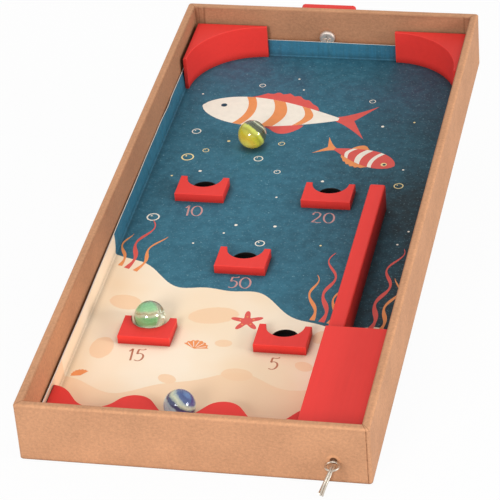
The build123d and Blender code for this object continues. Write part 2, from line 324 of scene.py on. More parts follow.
def new_group(name, outputs, **inputs):
    """An empty node group: its tree, nodes, given values by name, and output node.

    Each input has its default, and None stands for a plain vector.
    """
    tree = bpy.data.node_groups.new(name, "ShaderNodeTree")
    for key, value in inputs.items():
        kind = "Vector" if value is None else {1: "Float", 3: "Vector", 4: "Color"}[np.size(value)]
        made = tree.interface.new_socket(name=key.replace("_", " "), in_out="INPUT",
                                         socket_type="NodeSocket" + kind)
        if value is not None:
            made.default_value = value
    for key in outputs:
        kind = {"Vector": "Vector", "Colour": "Color"}.get(key, "Float")
        tree.interface.new_socket(name=key, in_out="OUTPUT", socket_type="NodeSocket" + kind)
    n = Nodes(tree)
    given = {s.name: Value(n, s) for s in tree.nodes.new("NodeGroupInput").outputs}
    return tree, n, given, tree.nodes.new("NodeGroupOutput")


def tray_group():
    """Object coordinates turned back into the tray's frame, in millimetres."""
    tree, n, _, out = new_group("Tray coordinates", ["Vector"])
    turn = n.add("Mapping", {"Vector": n.add("TexCoord").outputs["Object"],
                             "Scale": (1000, 1000, 1000), "Rotation": (-SLOPE, 0, 0),
                             "Location": tuple(-1000 * (TURN.T @ SHIFT))})
    n.feed(out, Vector=turn.outputs[0])
    return tree


def paper_group():
    """Paper pulp: a cloudy tone, short fibres both ways and fine flecks."""
    tree, n, i, out = new_group("Paper pulp", ["Colour", "Height"], Vector=None,
                                Colour=(0.6, 0.4, 0.2, 1), Clouds=0.08, Fibres=0.1, Flecks=0.3)
    where = i["Vector"]
    cloud = n.noise(where, 0.045, 3)
    along = n.noise(where, 0.85, 4, 0.65, (0.6, 1.0, 1.0))
    across = n.noise(where, 0.70, 4, 0.65, (1.0, 0.7, 0.9))
    fleck = n.ramp(n.noise(where, 0.8, 3, 0.7), 0.62, 0.74)
    fibre = n.math("MAXIMUM", along, across) - 0.56
    tone = fibre * i["Fibres"] + (cloud - 0.5) * i["Clouds"]
    base = n.tint(i["Colour"], tone * 2.0 + 1.0)
    shaded = n.tint(base, (0.72, 0.68, 0.62))
    n.feed(out, Colour=n.mix(fleck * i["Flecks"], base, shaded), Height=fibre + cloud * 0.6)
    return tree


def wear_group():
    """1 along edges where a rounded normal leaves the true one, broken up by noise."""
    tree, n, i, out = new_group("Edge wear", ["Mask"], Vector=None, Width=0.0006, Break_up=0.5)
    bevel = n.add("Bevel", {"Radius": i["Width"]}, samples=6)
    true = n.add("NewGeometry").outputs["Normal"]
    edge = n.ramp(1.0 - n.vector("DOT_PRODUCT", bevel.outputs[0], true), 0.02, 0.16)
    keep = n.ramp(n.noise(i["Vector"], 0.35, 3, 0.6), i["Break up"] * 0.8, 0.75)
    n.feed(out, Mask=n.math("MULTIPLY", edge, keep, clamp=True))
    return tree


def crevice_shade_group():
    """1 in a corner or a gap, where other surfaces come within reach, and 0 in the open: the mask
    for painted shade.
    """
    tree, n, i, out = new_group("Crevice", ["Mask"], Reach=0.003)
    near = n.add("AmbientOcclusion", {"Distance": i["Reach"]}, samples=6)
    n.feed(out, Mask=n.ramp(near.outputs["AO"], 0.92, 0.45))
    return tree


def swirl_group():
    """How far across a marble's bands a point lies, 0 to 1, with a wave along them and noise."""
    tree, n, i, out = new_group("Marble swirl", ["Value", "Run"], Vector=None,
                                Centre=(0, 0, 0), Across=(0, 0, 1), Along=(1, 0, 0), Wave=0.1)
    away = n.vector("SUBTRACT", i["Vector"], i["Centre"])
    across = n.vector("DOT_PRODUCT", away, i["Across"]) / MARBLE_R
    along = n.vector("DOT_PRODUCT", away, i["Along"]) / MARBLE_R
    bend = n.math("SINE", along * 2.6) * i["Wave"]
    rough = n.noise(away, 0.22, 3, 0.6) * 0.30 - 0.15
    n.feed(out, Value=n.ramp(across + bend + rough, -1, 1), Run=along)
    return tree


def grain_group():
    """Long pores and a slow ripple that run up the field, as in planed wood."""
    tree, n, i, out = new_group("Wood grain", ["Height", "Tone"], Vector=None, Fineness=1.0)
    wave = n.noise(i["Vector"], i["Fineness"] * 0.5, 4, 0.6, (1, 0.06, 1))
    pore = n.noise(i["Vector"], i["Fineness"] * 3.0, 2, 0.6, (1, 0.04, 1))
    n.feed(out, Height=wave * 0.7 + pore * 0.3, Tone=wave)
    return tree


def metal_group():
    """Fine drawing marks and dull patches for bare metal."""
    tree, n, i, out = new_group("Drawn metal", ["Roughness", "Height", "Tone"], Vector=None,
                                Shine=0.2)
    patch = n.noise(i["Vector"], 0.5, 3, 0.6)
    n.feed(out, Roughness=patch * 0.14 + i["Shine"], Tone=patch * 0.25 + 0.85,
           Height=n.noise(i["Vector"], 5.0, 3, 0.6, (1, 0.3, 1)))
    return tree


def ripple_group():
    """1 below a wavy line v = level + fall * u + two sines of u, all in millimetres."""
    tree, n, i, out = new_group("Wavy shore", ["Mask"], Vector=None, Level=100.0, Fall=0.0,
                                Swing=8.0, Length=90.0, Start=0.0, Fray=0.5)
    u, v, _ = n.split(i["Vector"])
    turn = u / i["Length"] * math.tau + i["Start"]
    small = n.math("SINE", turn * 2.3 + 1.1) * (i["Swing"] * 0.3)
    line = u * i["Fall"] + (small + n.math("SINE", turn) * i["Swing"]) + i["Level"]
    fray = (n.noise(i["Vector"], 0.8, 3) - 0.5) * i["Fray"]
    n.feed(out, Mask=n.ramp(line + fray - v, -0.08, 0.08))
    return tree


def spot_group():
    """1 inside an oval about a centre, with a soft, slightly uneven edge."""
    tree, n, i, out = new_group("Print spot", ["Mask"], Vector=None, Centre=(0, 0, 0),
                                Half_size=(5, 4, 1), Turn=0.0, Soft=0.03)
    away = n.vector("SUBTRACT", i["Vector"], i["Centre"])
    spin = n.add("VectorRotate", {"Vector": away, "Angle": i["Turn"]}, rotation_type="Z_AXIS")
    size = n.vector("LENGTH", n.vector("DIVIDE", spin.outputs[0], i["Half size"]))
    edge = size + (n.noise(i["Vector"], 0.5, 2) - 0.5) * 0.12
    n.feed(out, Mask=n.ramp(edge, 1.0 + i["Soft"], 1.0 - i["Soft"]))
    return tree


MAKERS = {"tray": tray_group, "paper": paper_group, "wear": wear_group, "grain": grain_group,
          "crevice_shade": crevice_shade_group, "swirl": swirl_group, "metal": metal_group,
          "ripple": ripple_group, "spot": spot_group}
GROUPS = {}


def shared(name):
    """A node group of this file, made the first time it is asked for."""
    if name not in GROUPS:
        GROUPS[name] = MAKERS[name]()
    return GROUPS[name]


def new_material(name, **constants):
    """A material with its nodes, its surface shader and its tray coordinates."""
    material = bpy.data.materials.new(name)
    material.use_nodes = True
    n = Nodes(material.node_tree)
    shader = material.node_tree.nodes["Principled BSDF"]
    for key, value in constants.items():
        shader.inputs[key.replace("_", " ")].default_value = value
    return material, n, shader, n.group("tray")["Vector"]


def bump(n, shader, height, strength, depth):
    """Feeds a height of so many metres to the shader's normal."""
    node = n.add("Bump", {"Strength": strength, "Distance": depth, "Height": height})
    n.feed(shader, Normal=node.outputs[0])


def corner_tucks(n, x, y, z, where):
    """The shade of the tucks: wavy upright lines beside the back corners, inside the tray."""
    drift = n.noise(where, 0.12, 2) * 1.6 - 0.8
    shade = 0.0
    for at, wide, share in ((WALL + 2.0, 0.35, 0.40), (WALL + 5.2, 0.55, 0.65),
                            (WIDTH - WALL - 3.4, 0.45, 0.40)):
        line = n.ramp(abs(x + drift - at), wide * 1.6, wide * 0.4) * share
        shade = n.math("MAXIMUM", shade, line)
    shade = shade * n.ramp(y, LENGTH - WALL - 1.0, LENGTH - WALL - 0.4)
    left = n.ramp(abs(y + drift - (LENGTH - WALL - 4.0)), 0.9, 0.3)
    left = left * n.ramp(x, WALL + 1.0, WALL + 0.4)
    return n.math("MAXIMUM", shade, left * 0.5) * n.ramp(z, 13, 22)


def kraft_material(settings):
    """Brown kraft paper: its lining, rubbed edges, seam, tucks and wire hole, with painted shade
    on the inner paper, in the bore, along the foot and in the corners, and painted light on the
    rim and at the front inside.
    """
    material, n, shader, where = new_material("kraft_paper", Roughness=0.72,
                                              Specular_IOR_Level=0.25)
    x, y, z = n.split(where)
    from_side = WIDTH / 2 - abs(x - WIDTH / 2)
    from_end = LENGTH / 2 - abs(y - LENGTH / 2)
    inward = n.math("MINIMUM", from_side, from_end)
    inside = n.ramp(inward, WALL - 0.9, WALL - 0.2) * n.ramp(z, HEIGHT + 0.2, HEIGHT - 1.0)
    # The paper inside the tray: darker than the outer paper, partly as painted shade, and lighter
    # towards the front as painted light.
    lining = n.mix(n.ramp(y, 150, 55) * 0.9, settings.lining, settings.front_lit_lining)
    paper = n.group("paper", Vector=where, Colour=n.mix(inside, settings.paper, lining),
                    Clouds=0.18, Fibres=0.42, Flecks=0.40)
    rub = n.group("wear", Vector=where, Width=0.0009, Break_up=0.3)["Mask"]
    pale = n.tint(paper["Colour"], (1.35, 1.32, 1.26))
    worn = n.mix(rub * settings.rubbing, paper["Colour"], pale)
    dark = n.tint(worn, (0.40, 0.33, 0.27))
    line = n.ramp(abs(x - (WIDTH - settings.seam + 0.1)), 0.34, 0.12) * n.ramp(y, 0.7, 0.4)
    line = line * n.ramp(n.noise(where, 0.35, 3), 0.30, 0.55)
    worn = n.mix(line * 0.75, worn, dark)
    # Painted highlight along the rim's outer round, and painted shade along its inner round.
    top = n.ramp(z, HEIGHT - 1.6, HEIGHT - 0.4)
    light = n.tint(worn, (1.16, 1.15, 1.12))
    worn = n.mix(top * n.ramp(inward, 1.9, 0.7) * 0.8, worn, light)
    worn = n.mix(top * n.ramp(inward, WALL - 1.0, WALL - 0.3) * 0.32, worn, dark)
    hole = n.add("CombineXYZ", {0: x - WIRE_X, 2: z - WIRE_Z}).outputs[0]
    away = n.vector("LENGTH", hole)
    worn = n.mix(n.ramp(away, 3.9, 3.1) * n.ramp(y, 3.0, 2.0) * 0.8, worn, pale)
    # Painted shade inside the wire's bore.
    bore = n.ramp(away, 2.0, 1.7) * n.ramp(y, 30, 29)
    worn = n.mix(bore, worn, n.tint(dark, (0.4, 0.4, 0.4)))
    # Painted shadow along the foot of the walls.
    worn = n.mix(n.ramp(z, 1.3, 0.3) * 0.5, worn, dark)
    mitre = n.ramp(abs(from_side - from_end), 0.45, 0.15) * top
    worn = n.mix(mitre * n.ramp(inward, WALL + 0.1, WALL) * 0.45, worn, dark)
    worn = n.mix(corner_tucks(n, x, y, z, where) * inside, worn, dark)
    # Painted shade in the corners and gaps of the paper.
    crevice_shade = n.group("crevice_shade", Reach=0.003)["Mask"]
    n.feed(shader, Base_Color=n.mix(crevice_shade * 0.55, worn, dark))
    bump(n, shader, paper["Height"], 0.35, 0.0002)
    return material


def board_material(name, colour, top):
    """Pulp board in one colour below and another one above its underside."""
    material, n, shader, where = new_material(name, Roughness=0.9, Specular_IOR_Level=0.15)
    tone = n.mix(n.ramp(n.split(where)[2], 0.5, 0.7), colour, top)
    paper = n.group("paper", Vector=where, Colour=tone, Clouds=0.15, Fibres=0.4, Flecks=0.6)
    n.feed(shader, Base_Color=paper["Colour"])
    bump(n, shader, paper["Height"], 0.5, 0.0003)
    return material


def paint_material(settings, name="red_paint", reach=0.005, shade_share=0.75):
    """Satin red paint: faint grain, slow changes of gloss, pale worn edges and painted shade in
    crevices.
    """
    material, n, shader, where = new_material(name, Specular_IOR_Level=0.25)
    grain = n.group("grain", Vector=where, Fineness=1.0)
    cloud = n.noise(where, 0.06, 3)
    red = n.tint(settings.red, grain["Tone"] * 0.10 + 0.95)
    red = n.mix(cloud * 0.10, red, settings.deep_red)
    edge = n.group("wear", Vector=where, Width=0.0007, Break_up=0.3)["Mask"]
    red = n.mix(edge * 0.5, red, settings.edge_red)
    # Painted shade in crevices and gaps within reach.
    crevice_shade = n.group("crevice_shade", Reach=reach)["Mask"]
    dark = n.tint(red, (0.22, 0.12, 0.12))
    n.feed(shader, Base_Color=n.mix(crevice_shade * shade_share, red, dark), Roughness=cloud * 0.15 + 0.42)
    bump(n, shader, grain["Height"], 0.18, 0.0002)
    return material


# Pale ovals on the sand: middle, half sizes and turn
SAND_SPOTS = ((22, 128, 9, 6, 0.3), (70, 121, 13, 7, -0.2), (92, 73, 8, 5, 0.1),
              (58, 66, 5, 3.4, 0.4), (19, 88, 6, 9, 0.0), (124, 83, 5, 3.5, 0.5),
              (128, 108, 4, 5.5, 0.2), (80, 98, 4.5, 3, 0.0), (153, 104, 5, 4, 0.3))


def sea_colour(n, settings, where, u, v):
    """The water: darker to the right (partly print, partly painted shade) and far off, mottled,
    specked, paler on two folds.
    """
    sea = n.mix(n.ramp(n.noise(where, 0.012, 2), 0.3, 0.7), settings.sea, settings.deep_sea)
    drift = (n.noise(where, 0.02, 4) - 0.5) * 60.0
    to_right = u + drift
    # Darker to the right, and most near the housing: partly the print's dark water, partly painted
    # shade over the lane.
    night_and_shade = n.ramp(to_right, 100, 160) * (n.ramp(v, 290, 245) * 0.29 + 0.66)
    sea = n.mix(night_and_shade, sea, settings.night_sea_and_shade)
    dusk = n.ramp(v + drift, 300, 372) * n.ramp(n.noise(where, 0.016, 3), 0.45, 0.6)
    sea = n.mix(dusk * 0.55, sea, settings.dusk_sea)
    quiet = n.ramp(to_right, 165, 105)
    wash = n.ramp(n.noise(where, 0.17, 5, 0.75), 0.40, 0.64) * (quiet * 0.30 + 0.12)
    sea = n.mix(wash, sea, settings.sea_mottle)
    blot = n.ramp(n.noise(where, 0.07, 4, 0.7), 0.50, 0.66)
    sea = n.mix(blot * quiet * 0.30, sea, settings.deep_sea)
    fine = n.ramp(n.noise(where, 0.75, 2, 0.6), 0.60, 0.68)
    sea = n.mix(fine * 0.30, sea, settings.speckle)
    cell = n.add("TexVoronoi", {"Vector": where, "Scale": 0.20})
    rare = n.add("SeparateColor", {0: cell.outputs["Color"]}).outputs[0]
    dot = n.ramp(cell.outputs["Distance"], 0.11, 0.05) * n.ramp(rare, 0.35, 1.0)
    sea = n.mix(dot * 0.75, sea, settings.speckle)
    back, left = INNER_BACK - FOLD, INNER_LEFT + FOLD
    up = n.noise(where, 0.35, 3, 0.6, (1, 0.08, 1))
    back_fold = n.ramp(v, back, back + 0.8) * n.ramp(up, 0.25, 0.65)
    up = n.noise(where, 0.35, 3, 0.6, (0.08, 1, 1))
    left_fold = n.ramp(u, left, left - 0.8) * (n.ramp(up, 0.25, 0.7) * 0.75)
    raised = n.math("MAXIMUM", back_fold, left_fold)
    return n.mix(raised * 0.75, sea, settings.folded_sea)


def card_material(settings):
    """The print: speckled sea above, two sandy shores below, pale ovals on the sand, and painted
    shade round what stands on it.
    """
    material, n, shader, _ = new_material("card_print", Roughness=0.62, Specular_IOR_Level=0.3)
    sheet = n.add("UVMap", uv_map="card").outputs[0]
    where = n.add("Mapping", {"Vector": sheet, "Scale": (100, 100, 100)}).outputs[0]
    u, v, _ = n.split(where)
    sea = sea_colour(n, settings, where, u, v)
    sand = n.mix(n.ramp(n.noise(where, 0.02, 2), 0.35, 0.65), settings.sand, settings.warm_sand)
    for x, y, a, b, turn in SAND_SPOTS:
        spot = n.group("spot", Vector=where, Centre=(x, y, 0), Half_size=(a, b, 1), Turn=turn)
        sand = n.mix(spot["Mask"] * 0.85, sand, settings.peach)
    front = n.group("ripple", Vector=where, Level=57.0, Fall=0.10, Swing=7.0, Length=96.0,
                    Start=2.2)["Mask"]
    sand = n.mix(front * 0.75, sand, settings.peach)
    shore = n.group("ripple", Vector=where, Level=168.0, Fall=-0.36, Swing=6.0, Length=74.0,
                    Start=0.6)["Mask"]
    ink = n.mix(shore, sea, sand)
    # Painted shade where the card meets the walls and the pieces standing on it.
    crevice_shade = n.group("crevice_shade", Reach=0.0045)["Mask"]
    n.feed(shader, Base_Color=n.mix(crevice_shade * 0.75, ink, n.tint(ink, (0.30, 0.26, 0.25))))
    bump(n, shader, n.noise(where, 1.2, 3), 0.12, 0.0001)
    return material


def ink_material(name, colour, rough=0.6):
    """One printed colour, a little uneven like the card under it."""
    material, n, shader, where = new_material(name, Roughness=rough, Specular_IOR_Level=0.3)
    tone = (n.noise(where, 0.25, 3) * 0.16 + 0.92) * (n.noise(where, 2.0, 2) * 0.10 + 0.95)
    n.feed(shader, Base_Color=n.tint(colour, tone))
    return material


def metal_material(name, colour, shine):
    """Bare metal with drawing marks."""
    material, n, shader, where = new_material(name, Metallic=1.0)
    metal = n.group("metal", Vector=where, Shine=shine)
    n.feed(shader, Base_Color=n.tint(colour, metal["Tone"]), Roughness=metal["Roughness"])
    bump(n, shader, metal["Height"], 0.15, 0.00005)
    return material


def glass_material(name, tint):
    """Clear marble glass with a breath of tint under a smooth skin."""
    material, n, shader, where = new_material(name, Roughness=0.02, Transmission_Weight=1.0,
                                              IOR=1.45, Coat_Weight=1.0, Coat_Roughness=0.12)
    n.feed(shader, Base_Color=n.mix(n.noise(where, 0.2, 2) * 0.3, tint, (1, 1, 1)))
    return material


def swirl_material(name, centre, looks):
    """Coloured bands inside a marble, some clear and some dense, that glow a little as painted
    light.
    """
    material, n, shader, where = new_material(name, Roughness=0.5, Emission_Strength=0.32)
    swirl = n.group("swirl", Vector=where, Centre=tuple(centre), Across=looks["across"],
                    Along=looks["along"], Wave=looks["wave"])
    bands = n.add("ValToRGB", {0: swirl["Value"]})
    elements = bands.color_ramp.elements
    while len(elements) < len(looks["bands"]):
        elements.new(0.5)
    for element, (at, rgb, density) in zip(elements, looks["bands"]):
        element.position = (at + 1) / 2
        element.color = (*linear(*rgb), density)
    colour = n.tint(bands.outputs["Color"], n.noise(where, 1.1, 3, 0.6) * 0.5 + 0.75)
    low, high = looks["clear"]
    fade = n.ramp(swirl["Run"], high, low)
    # The bands glow a little: painted light in place of the light that the glass ball holds back
    # from them.
    n.feed(shader, Base_Color=colour, Emission_Color=colour,
           Alpha=fade * bands.outputs["Alpha"])
    return material


def plain_wood_material():
    """Turned pale wood with its grain along the plunger."""
    material, n, shader, where = new_material("plain_wood", Roughness=0.55)
    grain = n.group("grain", Vector=where, Fineness=1.6)
    tone = n.mix(grain["Tone"], linear(214, 176, 128), linear(178, 132, 84))
    n.feed(shader, Base_Color=tone)
    bump(n, shader, grain["Height"], 0.3, 0.0002)
    return material


def felt_material():
    """Dense dark felt."""
    material, n, shader, where = new_material("felt", Roughness=0.95)
    fuzz = n.noise(where, 3.0, 4, 0.7)
    n.feed(shader, Base_Color=n.mix(fuzz, linear(22, 22, 24), linear(70, 68, 66)))
    bump(n, shader, fuzz, 0.8, 0.0002)
    return material


# ---- settings ----


def colour_property(name, words, rgb):
    """A colour setting. rgb is its default, of 0 to 255."""
    return bpy.props.FloatVectorProperty(name=name, description=words, subtype="COLOR", size=3,
                                         min=0, max=1, default=linear(*rgb))


def number_property(name, words, default, low, high, **more):
    """A number setting between two limits."""
    return bpy.props.FloatProperty(name=name, description=words, default=default, min=low,
                                   max=high, **more)


class WrapSettings(bpy.types.PropertyGroup):
    paper: colour_property("Paper", "Colour of the kraft paper", (199, 146, 109))
    # The inner paper's colour holds painted shade, and its colour at the front holds painted
    # light.
    lining: colour_property("Lining", "Colour of the paper inside the tray", (181, 131, 98))
    front_lit_lining: colour_property("Front lit lining", "Its colour at the front", (202, 144, 104))
    wobble: number_property("Wobble", "How far the glued paper waves, in mm", 0.12, 0, 1)
    rubbing: number_property("Rubbing", "How pale the edges are rubbed", 0.6, 0, 1)
    seam: number_property("Seam", "Distance in mm from the right corner to the paper's seam",
                          2.0, 1.7, 20)


class CardSettings(bpy.types.PropertyGroup):
    sea: colour_property("Sea", "Colour of the water", (46, 105, 126))
    deep_sea: colour_property("Deep sea", "Colour of the darker water", (40, 88, 106))
    folded_sea: colour_property("Folded sea", "Colour of the water on the folds", (52, 124, 156))
    # Partly the print's dark water, partly painted shade on the right of the field and in the
    # lane.
    night_sea_and_shade: colour_property("Night sea and shade", "Colour of the water on the right", (29, 40, 45))
    dusk_sea: colour_property("Dusk sea", "Colour of the far water", (66, 72, 96))
    sea_mottle: colour_property("Mottle", "Colour worked into the water", (72, 135, 156))
    speckle: colour_property("Speckle", "Colour of the specks", (132, 172, 182))
    sand: colour_property("Sand", "Colour of the sand", (250, 234, 210))
    warm_sand: colour_property("Warm sand", "Colour of the warmer sand", (248, 222, 188))
    peach: colour_property("Peach", "Colour of the ovals and the near shore", (247, 208, 168))
    coral: colour_property("Coral", "Colour of the red motifs", (226, 92, 84))
    orange: colour_property("Orange", "Colour of the orange motifs", (240, 150, 90))
    cream: colour_property("Cream", "Colour of the pale motifs", (248, 238, 222))
    yellow: colour_property("Pale yellow", "Colour of some bubbles", (246, 222, 160))
    pink_number: colour_property("Number on sea", "Numbers on the sea", (202, 150, 146))
    brown_number: colour_property("Number on sand", "Numbers on the sand", (188, 120, 90))


class PaintSettings(bpy.types.PropertyGroup):
    red: colour_property("Red", "Colour of the paint", (234, 60, 53))
    deep_red: colour_property("Deep red", "Colour of its darker clouds", (200, 44, 42))
    edge_red: colour_property("Edge red", "Colour of its worn edges", (255, 112, 98))


class StageSettings(bpy.types.PropertyGroup):
    sky: number_property("Sky", "Strength of the even light", 0.71, 0, 5)
    front_box: number_property("Front box", "Power of the front softbox", 25.0, 0, 100,
                               unit="POWER")
    side_box: number_property("Side box", "Power of the side softbox", 26.0, 0, 100,
                              unit="POWER")
    lens: number_property("Lens", "Focal length on a 36 mm sensor", 193.2, 20, 400,
                          unit="CAMERA")


# ---- kraft paper walls ----


def bell(away, width):
    """A smooth hump of height 1: exp(-(away / width)^2)."""
    return np.exp(-(away / width) ** 2)


def wall_path(seam):
    """Points round the tray, outside and inside, and how far along the path each is.

    Outside: a rectangle with round corners. Inside: the nearest point of the inner rectangle.
    Sample steps shrink near the corners and the seam, so the seam's edge is crisp.
    """
    near = 12.0

    def side(length):
        at_seam = length - seam - np.array([0.9, 0.45, 0.3, 0.15, 0.0, -0.15, -0.3])
        even = np.linspace(near, length - near, int(length / 5))
        ends = np.linspace(CORNER, near, 12)
        return np.unique(np.round(np.concatenate([ends, at_seam, even, length - ends]), 4))

    turns = np.linspace(0, math.pi / 2, 7)[1:-1, None]
    ways = np.array([(1, 0), (0, 1), (-1, 0), (0, -1)], float)
    outer = []
    for k, corner in enumerate(((0, 0), (WIDTH, 0), (WIDTH, LENGTH), (0, LENGTH))):
        length, way, left = (WIDTH, LENGTH)[k % 2], ways[k], ways[(k + 1) % 4]
        outer.append(corner + side(length)[:, None] * way)
        centre = corner + (length - CORNER) * way + CORNER * left
        outer.append(centre + CORNER * (np.sin(turns) * way - np.cos(turns) * left))
    outer = np.vstack(outer)
    inner = np.clip(outer, WALL, (WIDTH - WALL, LENGTH - WALL))
    step = np.linalg.norm(np.roll(outer, -1, 0) - outer, axis=1)
    return outer, inner, np.concatenate([[0], np.cumsum(step)[:-1]])


def wall_profile():
    """The wall's section as depth in from the outside and height, closed.

    Bottom, a small round, the outer face, the rim between two rounds, and the inner face.
    """
    def arc(x, z, r, start, end, count):
        a = np.radians(np.linspace(start, end, count))
        return np.stack([x + r * np.cos(a), z + r * np.sin(a)], 1)

    rim = HEIGHT - RIM
    return np.vstack([
        [(WALL, 0.02), (WALL - 1.2, 0.02)],
        arc(FOOT, FOOT, FOOT, 270, 180, 6),
        np.stack([np.zeros(12), np.linspace(3, rim - 2, 12)], 1),
        arc(RIM, rim, RIM, 180, 90, 8),
        arc(WALL - RIM, rim, RIM, 90, 0, 8),
        np.stack([np.full(12, WALL), np.linspace(rim - 2, 2, 12)], 1)])


def paper_wave(along, height):
    """A slow sum of sines, from 0 to 1, of the way along the wall and the height on it."""
    s, z = along[:, None], height[None, :]
    wave = (np.sin(s / 31 + z / 19) + np.sin(s / 17.3 - z / 11 + 1.2)
            + 0.6 * np.sin(s / 7.9 + z / 6.1 + 2.5) + 0.3 * np.sin(s / 3.1 + z / 4.3))
    return 0.5 + wave / 5.8


def corner_folds(inner):
    """How high the paper's tucks stand: ridges at set distances from each inner corner."""
    corners = np.array([(WALL, WALL), (WIDTH - WALL, WALL), (WIDTH - WALL, LENGTH - WALL),
                        (WALL, LENGTH - WALL)])
    gap = np.linalg.norm(inner[:, None] - corners, axis=2)
    ridges = bell(gap - 2.6, 0.7) - 0.7 * bell(gap - 4.6, 0.8) + 0.6 * bell(gap - 7.5, 1.0)
    return ridges @ np.array([0.5, 0.35, 0.35, 1.0])


def wrapped_walls(settings, material):
    """Walls in kraft paper: the wall's section carried round the tray's outline.

    Each point lies on the line from the outer path to the inner one, at the section's depth,
    and sinks by the paper's wave. Near the corners the paper has tucks, and one groove down
    the front face is its seam.
    """
    outer, inner, along = wall_path(settings.seam)
    depth, z = wall_profile().T
    outside, inside, on_rim = depth < 0.01, depth > WALL - 0.01, z > HEIGHT - RIM
    wave = paper_wave(along, z) * settings.wobble
    beyond = outer[:, 0] - (WIDTH - settings.seam)
    groove = (0.30 * bell(beyond, 0.22) + 0.10 * (beyond > 0)) * (outer[:, 1] < 0.01)
    tucks = 0.32 * corner_folds(inner)[:, None] * np.clip((z - 8) / 20, 0, 1)
    sink = (wave + groove[:, None]) * outside - wave * (inside & (z > 1)) - tucks * inside
    height = z - (0.9 * wave + groove[:, None]) * on_rim
    share = ((depth + sink) / WALL)[..., None]
    flat = outer[:, None, :] + (inner - outer)[:, None, :] * share
    points = np.concatenate([flat, height[..., None]], 2).reshape(-1, 3)
    faces = grid_faces(*height.shape, True, True)[:, ::-1]
    piece = make_piece("kraft_walls", points, faces, [material], "kraft_wrap")
    mark_sharp(piece, 50)
    bore = wire_bore()
    cut = piece.modifiers.new("bore", "BOOLEAN")
    cut.object = bore
    cut.solver = "EXACT"
    bake_modifiers(piece)
    bpy.data.objects.remove(bore)
    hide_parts(*WALL_NODES)


def wire_bore():
    """The plunger wire's hole as a turned shape: a short cone at the front, then straight."""
    turn = np.linspace(0, math.tau, 41)[:-1]
    sink = (WIRE_SINK - WIRE_HOLE) / 2
    y, r = np.array([(-1.0, WIRE_SINK / 2 + 1.0), (0.0, WIRE_SINK / 2), (sink, WIRE_HOLE / 2),
                     (WALL + 1, WIRE_HOLE / 2)]).T[:, :, None]
    points = np.stack([WIRE_X + r * np.cos(turn), y + 0 * turn, WIRE_Z + r * np.sin(turn)], 2)
    mesh = bpy.data.meshes.new("bore")
    mesh.from_pydata(place(points).tolist(), [], tube_faces(*points.shape[:2]))
    return add_object("bore", mesh)


# ---- folded card ----

# Where the flat middle of the card is sampled
CARD_X = np.linspace(INNER_LEFT + FOLD, INNER_RIGHT - FOLD, 41)
CARD_Y = np.linspace(INNER_FRONT + FOLD, INNER_BACK - FOLD, 91)
# Each fold: its name, where it starts, the line it runs along, its way out and its lean
FOLDS = (("left", CARD_X[0], CARD_Y, (-1, 0), 0.0), ("right", CARD_X[-1], CARD_Y, (1, 0), 0.25),
         ("back", CARD_Y[-1], CARD_X, (0, 1), 0.45),
         ("front", CARD_Y[0], CARD_X[CARD_X < DIVIDER_X - 1], (0, -1), 0.25))
# The card's material slots
PRINTED, CUT_EDGE, HOLE_EDGE = 0, 1, 2


def flap_profile():
    """The flap's section from the field up: distance out from the fold's start and height.

    A quarter round, the inner face, the cut top edge, then back down the outer face.
    """
    a = np.radians(np.linspace(0, 90, 9))
    bend = np.stack([FOLD * np.sin(a), FOLD * (1 - np.cos(a))], 1)
    rise = np.linspace(FOLD, FLAP_TOP - FIELD, 8)[1:]
    face = np.stack([np.full(len(rise), FOLD), rise], 1)
    outer = np.stack([np.full(len(rise), FOLD + CARD), rise[::-1]], 1)
    back = np.stack([(FOLD + CARD) * np.sin(a), FOLD - (FOLD + CARD) * np.cos(a)], 1)[::-1]
    return np.vstack([bend, face, outer, back])


def card_field():
    """The card's flat middle with its holes: its points, its print's places, faces and slots.

    The outline and the holes are cut into triangles, once above and once below.
    """
    sides = ((CARD_X, CARD_Y[:1]), (CARD_X[-1:], CARD_Y), (CARD_X[::-1], CARD_Y[-1:]),
             (CARD_X[:1], CARD_Y[::-1]))
    loops = [np.vstack([np.column_stack(np.broadcast_arrays(x, y))[:-1] for x, y in sides])]
    turn = np.linspace(0, math.tau, 49)[:-1]
    for x, y in CUPS.values():
        middle = y + HOLE_BEHIND_FRONT
        loops.append(np.stack([x + HOLE_R * np.cos(turn), middle + HOLE_R * np.sin(turn)], 1))
    flat = np.vstack(loops)
    count = len(flat)
    faces, slots = [], []
    for a, b, c in tessellate_polygon([[Vector((*p, 0)) for p in loop] for loop in loops]):
        if signed_area(flat, np.array([[a, b, c]])) < 0:
            b, c = c, b
        faces += [(a, b, c), (a + count, c + count, b + count)]
        slots += [PRINTED, CUT_EDGE]
    start = len(loops[0])
    for ring in loops[1:]:
        i = start + np.arange(len(ring))
        j = np.roll(i, -1)
        faces += np.stack([i, j, j + count, i + count], 1).tolist()
        slots += [HOLE_EDGE] * len(ring)
        start += len(ring)
    points = [np.column_stack([flat, np.full(count, z)]) for z in (FIELD, FIELD - CARD + 0.02)]
    return np.vstack(points), np.vstack([flat, flat]), faces, slots


